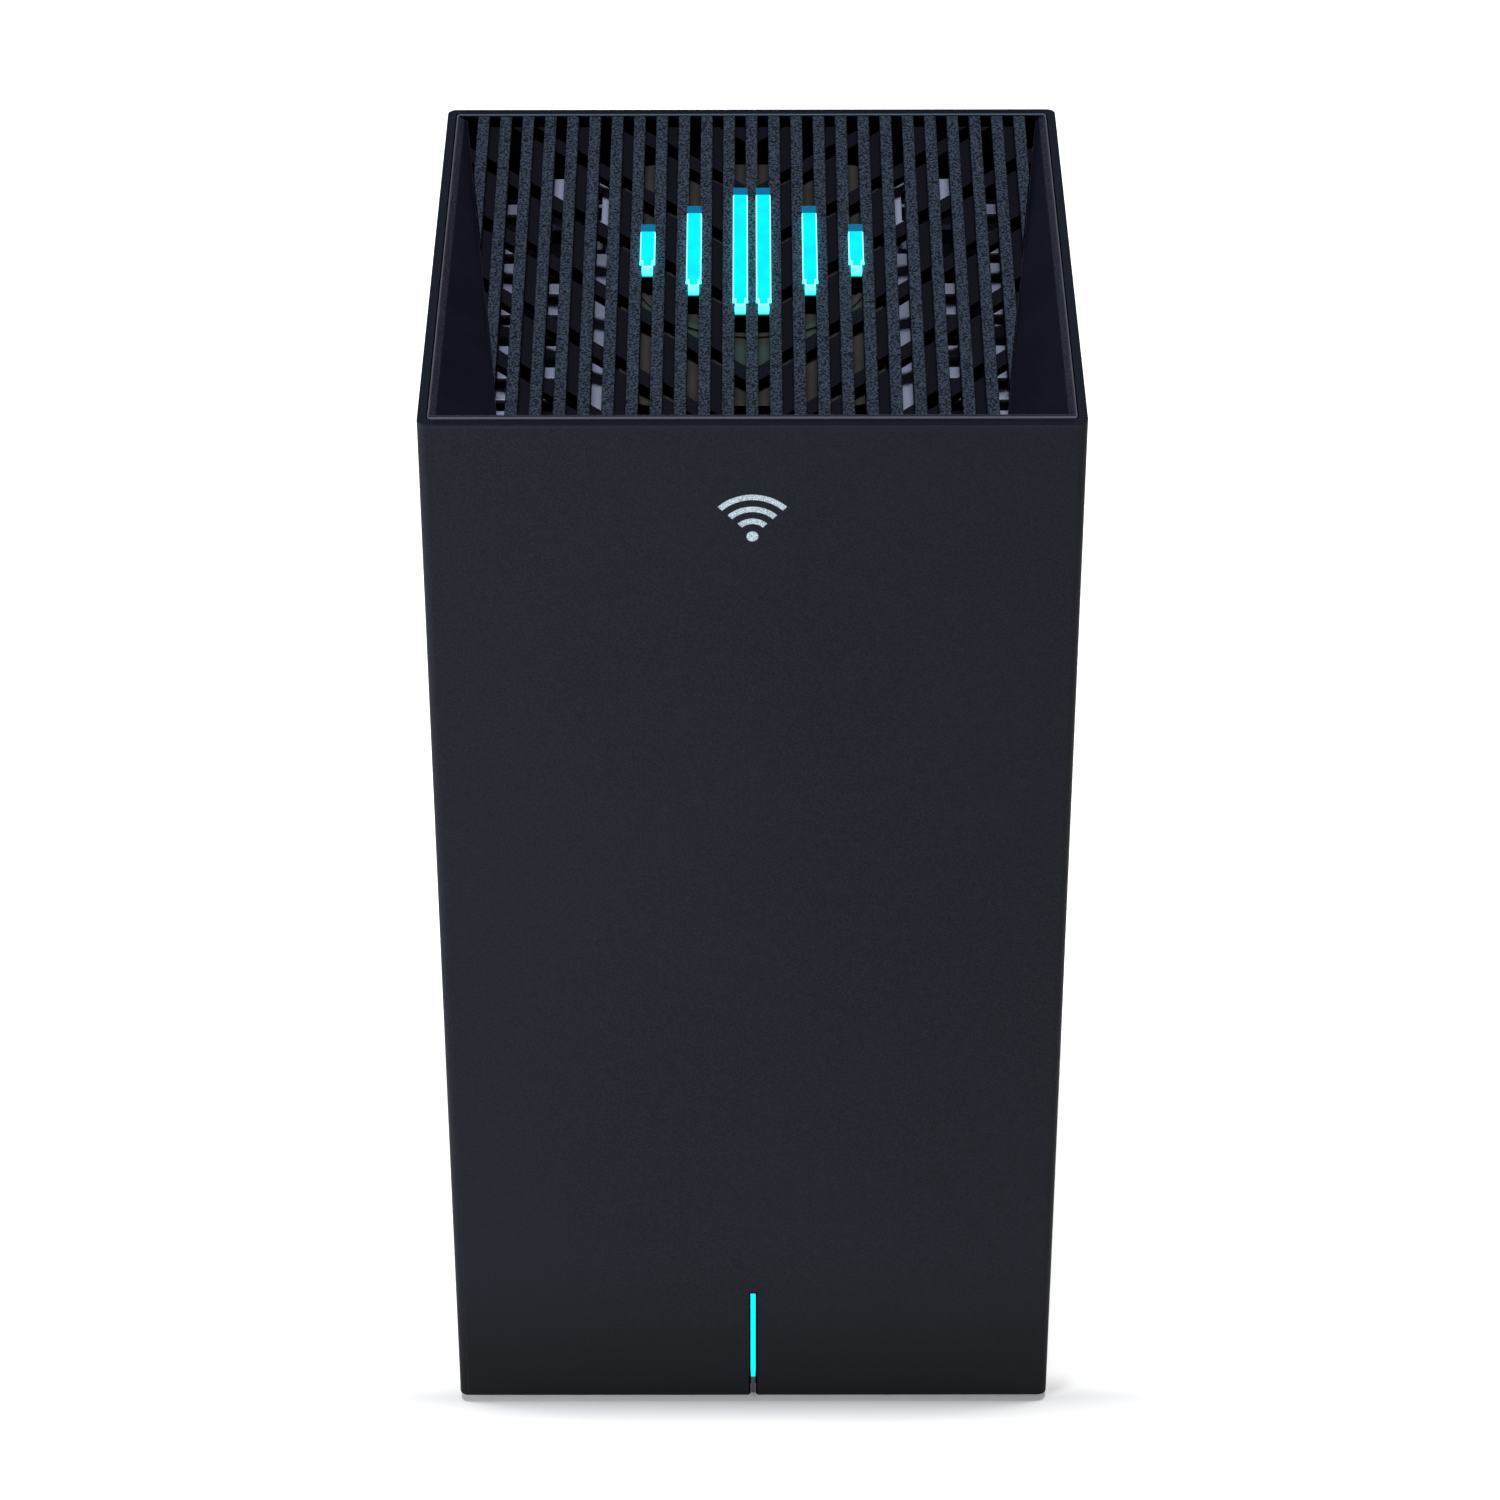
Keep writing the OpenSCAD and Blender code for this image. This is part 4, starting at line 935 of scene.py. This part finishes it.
def screws(node, name):
    """Detailed screws where the CAD node has plain ones, each turned by a different amount."""
    bm = bmesh.new()
    shape = None
    for places in islands(node):
        lo, hi = box_of(places)
        size = hi - lo
        along = max(range(3), key=lambda i: size[i])
        middle = (lo + hi) / 2

        def away(place):
            return max(abs(place[i] - middle[i]) for i in range(3) if i != along)

        low_end = [p for p in places if p[along] < lo[along] + NEAR]
        high_end = [p for p in places if p[along] > hi[along] - NEAR]
        head_low = max(map(away, low_end)) > max(map(away, high_end))
        head = max(size[i] for i in range(3) if i != along) / 2
        shank = min(max(map(away, low_end)), max(map(away, high_end)))
        wide = [p[along] for p in places if away(p) > 0.9 * head]
        head_height = max(wide) - min(wide)
        if shape is None:
            shape = screw_mesh(name + "_shape", head, head_height, shank, size[along])
        start = middle.copy()
        start[along] = lo[along] if head_low else hi[along]
        forward = Vector((0, 0, 0))
        forward[along] = 1 if head_low else -1
        turned = forward.to_track_quat("Z", "Y").to_matrix().to_4x4()
        spin = Matrix.Rotation(rng.uniform(0, math.pi / 2), 4, "Z")
        part = shape.copy()
        part.transform(Matrix.Translation(start) @ turned @ spin)
        bm.from_mesh(part)
        bpy.data.meshes.remove(part)
    made = make_piece(name, mesh_from(name, bm), materials["screw_steel"], node)
    shade(made)


def rubber_feet():
    """Moulded feet with a chamfered rim and two shallow grip rings on the sole."""
    bm = bmesh.new()
    for places in islands("rubber_feet"):
        lo, hi = box_of(places)
        radius = (hi.x - lo.x) / 2
        height = hi.z - lo.z
        profile = [(radius - inwards, up) for inwards, up in SOLE]
        profile = [(SOLE_MIDDLE, SOLE_RISE), *profile, (radius, SOLE_SIDE), (radius, height)]
        foot = bmesh.new()
        revolve(foot, profile, ROUND_SIDES, plain_turn)
        bmesh.ops.translate(foot, verts=foot.verts, vec=((lo.x + hi.x) / 2, (lo.y + hi.y) / 2, lo.z))
        part = mesh_from("foot", foot)
        bm.from_mesh(part)
        bpy.data.meshes.remove(part)
    made = make_piece("rubber_feet_moulded", mesh_from("rubber_feet_moulded", bm), materials["foot_rubber"],
                      "rubber_feet")
    shade(made)


def rounded_route(corners, bend):
    """A line through the corners, with an arc of the given radius at each right-angled turn."""
    route = [corners[0]]
    for before, corner, after in zip(corners, corners[1:], corners[2:]):
        came = (corner - before).normalized()
        goes = (after - corner).normalized()
        centre = corner + (goes - came) * bend
        for step in range(ARC_STEPS + 1):
            angle = math.radians(90 * step / ARC_STEPS)
            route.append(centre + (came * math.sin(angle) - goes * math.cos(angle)) * bend)
    route.append(corners[-1])
    return route


def heading(route, index):
    """The route's direction at one of its places, from the place before to the place after."""
    after = route[min(index + 1, len(route) - 1)]
    before = route[max(index - 1, 0)]
    return (after - before).normalized()


def sweep(bm, route, radius):
    """A round tube along a level route."""
    rings = []
    for index, place in enumerate(route):
        ahead = heading(route, index)
        across = ahead.cross(Vector((0, 0, 1)))
        ring = []
        for side in range(LEAD_SIDES):
            angle = 2 * math.pi * side / LEAD_SIDES
            out = across * math.cos(angle) + Vector((0, 0, math.sin(angle)))
            ring.append(bm.verts.new(place + out * radius))
        rings.append(ring)
    join_rings(bm, rings)


def coaxial_leads():
    """Leads with soft bends where the CAD node has square turns."""
    bm = bmesh.new()
    for places in islands("antenna_cables"):
        lo, hi = box_of(places)
        radius = (hi.z - lo.z) / 2
        side = math.copysign(1, lo.x + hi.x)
        out_x = max(abs(place.x) for place in places)
        in_x = min(abs(place.x) for place in places)
        out_y = box_of([place for place in places if abs(place.x) > out_x - NEAR])
        in_y = box_of([place for place in places if abs(place.x) < in_x + NEAR])
        out_y = (out_y[0].y + out_y[1].y) / 2
        in_y = (in_y[0].y + in_y[1].y) / 2
        turn_x = min(abs(place.x) for place in places if abs(place.y - out_y) < 0.5 * radius) + radius
        level = (lo.z + hi.z) / 2
        corners = [(out_x, out_y), (turn_x, out_y), (turn_x, in_y), (in_x, in_y)]
        sweep(bm, rounded_route([Vector((side * x, y, level)) for x, y in corners], LEAD_BEND), radius)
    made = make_piece("coaxial_leads", mesh_from("coaxial_leads", bm), materials["cable_jacket"],
                      "antenna_cables")
    shade(made)


def sprung_contacts():
    """Thin wires that rise from each network socket's floor towards its back, with a turned-down tip."""
    bm = bmesh.new()
    for places in islands("jack_contacts"):
        lo, hi = box_of(places)
        middle = (lo.z + hi.z) / 2
        low = lo.x + CONTACT_THICKNESS
        tip = lo.x + CONTACT_RISE
        turns = [(low, hi.y), (low, hi.y - CONTACT_FLAT), (low + CONTACT_THICKNESS, hi.y - CONTACT_BENT)]
        turns += [(tip - CONTACT_LEAN, lo.y + CONTACT_BENT), (tip, lo.y + CONTACT_FLAT)]
        turns.append((tip - CONTACT_DROP, lo.y + CONTACT_END))
        route = [Vector((x, y, middle)) for x, y in turns]
        rings = []
        for index, place in enumerate(route):
            ahead = heading(route, index)
            out = ahead.cross(Vector((0, 0, 1))) * CONTACT_THICKNESS / 2
            side = Vector((0, 0, CONTACT_WIDTH / 2))
            corners = (out + side, out - side, -out - side, side - out)
            rings.append([bm.verts.new(place + corner) for corner in corners])
        join_rings(bm, rings)
    made = make_piece("jack_contacts_sprung", mesh_from("jack_contacts_sprung", bm),
                      materials["contact_gold"], "jack_contacts")
    round_edges(made, CONTACT_EDGE)


def dished_button(node, name):
    """Button with a rounded rim and a shallow dish for the finger, on the CAD button's collar and stem."""
    lo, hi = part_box(node)
    places = [vertex.co for vertex in frame["nodes"][node].data.vertices]
    middle = (lo + hi) / 2

    def radius_at(depth):
        return max(math.hypot(place.x - middle.x, place.z - middle.z) for place in places
                   if abs(place.y - depth) < NEAR)

    depths = sorted({round(place.y / MM, 3) * MM for place in places})
    stem_end, collar_front, collar_back, face = depths
    cap = radius_at(face)
    stem = radius_at(stem_end)
    collar = (hi.x - lo.x) / 2
    profile = [(stem - STEM_EDGE, stem_end), (stem, stem_end + STEM_EDGE), (stem, collar_front)]
    profile += [(collar - COLLAR_EDGE, collar_front), (collar, collar_front + COLLAR_EDGE)]
    profile += [(collar, collar_back), (cap, collar_back)]
    for step in range(CAP_STEPS + 1):
        angle = math.radians(90 * step / CAP_STEPS)
        inwards = CAP_EDGE * (1 - math.cos(angle))
        below = CAP_EDGE * (1 - math.sin(angle))
        profile.append((cap - inwards, face - below))
    for step in range(DISH_STEPS):
        share = 1 - step / DISH_STEPS
        profile.append(((cap - CAP_RIM) * share, face - DISH_DEPTH * (1 - share ** 2)))
    bm = bmesh.new()
    revolve(bm, profile, ROUND_SIDES, plain_turn)
    turned = Matrix.Rotation(math.radians(-90), 4, "X")
    bm.transform(Matrix.Translation((middle.x, 0, middle.z)) @ turned)
    made = make_piece(name, mesh_from(name, bm), materials["button_plastic"], node)
    shade(made)


# ---------------------------------------------------------------- stage


def make_camera():
    pitch = math.radians(CAMERA_PITCH)
    forward = Vector((0, math.cos(pitch), -math.sin(pitch)))
    right = Vector((1, 0, 0))
    yaw = Matrix.Rotation(math.radians(CAMERA_YAW), 3, "Z")
    forward = yaw @ forward
    right = yaw @ right
    up = right.cross(forward)
    roll = Matrix.Rotation(math.radians(CAMERA_ROLL), 3, forward)
    right = roll @ right
    up = roll @ up
    camera = new_object("camera", bpy.data.cameras.new("camera"))
    turned = Matrix((right, up, -forward)).transposed().to_4x4()
    camera.matrix_world = Matrix.Translation(CAMERA_PLACE) @ turned
    camera.data.lens = CAMERA_LENS
    camera.data.sensor_width = SENSOR
    bpy.context.scene.camera = camera


def softbox(name, place, aim, size, power, colour):
    light = bpy.data.lights.new(name, "AREA")
    light.shape = "RECTANGLE"
    light.size, light.size_y = size
    light.energy = power
    light.color = colour
    made = new_object(name, light)
    made.visible_camera = False
    made.location = place
    made.rotation_euler = (Vector(aim) - Vector(place)).to_track_quat("-Z", "Y").to_euler()


def make_sky():
    """A soft grey sky that is palest at the horizon."""
    world = bpy.data.worlds.new("studio")
    world.use_nodes = True
    nodes = world.node_tree.nodes
    links = world.node_tree.links
    height = nodes.new("ShaderNodeSeparateXYZ")
    links.new(nodes.new("ShaderNodeTexCoord").outputs["Generated"], height.inputs["Vector"])
    fade = nodes.new("ShaderNodeMapRange")
    fade.interpolation_type = "SMOOTHSTEP"
    fade.inputs["From Min"].default_value = WORLD_FADE[0]
    fade.inputs["From Max"].default_value = WORLD_FADE[1]
    fade.inputs["To Min"].default_value = WORLD_HORIZON
    fade.inputs["To Max"].default_value = WORLD_ZENITH
    links.new(height.outputs["Z"], fade.inputs["Value"])
    links.new(fade.outputs["Result"], nodes["Background"].inputs["Strength"])
    nodes["Background"].inputs["Color"].default_value = WORLD_TINT
    bpy.context.scene.world = world


def make_table():
    """A pale paper table, lit from below behind the object's front plane."""
    bm = bmesh.new()
    bmesh.ops.create_grid(bm, x_segments=8, y_segments=8, size=TABLE_HALF)
    floor = new_object("floor", mesh_from("floor", bm))
    paper = Shader("floor_paper", Specular_IOR_Level=0.1, Emission_Color=(1, 1, 1, 1))
    front = cad_box[0].y
    glow = paper.span(paper.axis("Y"), front, front + GLOW_FADE, 0.0, TABLE_GLOW)
    paper.surface("Emission Strength", glow)
    fibres = paper.mix(paper.noise(0.4, 2), (0.83, 0.83, 0.83, 1), (0.85, 0.85, 0.85, 1))
    paper.surface("Base Color", fibres)
    paper.surface("Roughness", paper.clouds(0.05, 3, 0.85, 0.95))
    floor.data.materials.append(paper.material)


# ---------------------------------------------------------------- scene


rng = random.Random(7)
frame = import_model()
cad_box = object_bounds()
bpy.context.scene.view_settings.view_transform = "Standard"
make_camera()
make_sky()
make_table()
for light in LIGHTS:
    softbox(*light)
sharp_folds = sharp_by_angle()
materials = make_materials()

for subpart in frame["record"]["subparts"]:
    frame["nodes"][subpart["node"]].material_slots[0].material = materials[subpart["material_slot"]]
frame["nodes"]["status_light_guide"].material_slots[0].material = materials["status_clear"]

finish_cad_nodes()
light_bars()
for screw_node in ("base_screws", "chassis_screws", "board_screws", "heat_sink_screws"):
    screws(screw_node, screw_node + "_threaded")
rubber_feet()
coaxial_leads()
sprung_contacts()
for button_node in ("power_button", "pairing_button"):
    dished_button(button_node, button_node + "_dished")
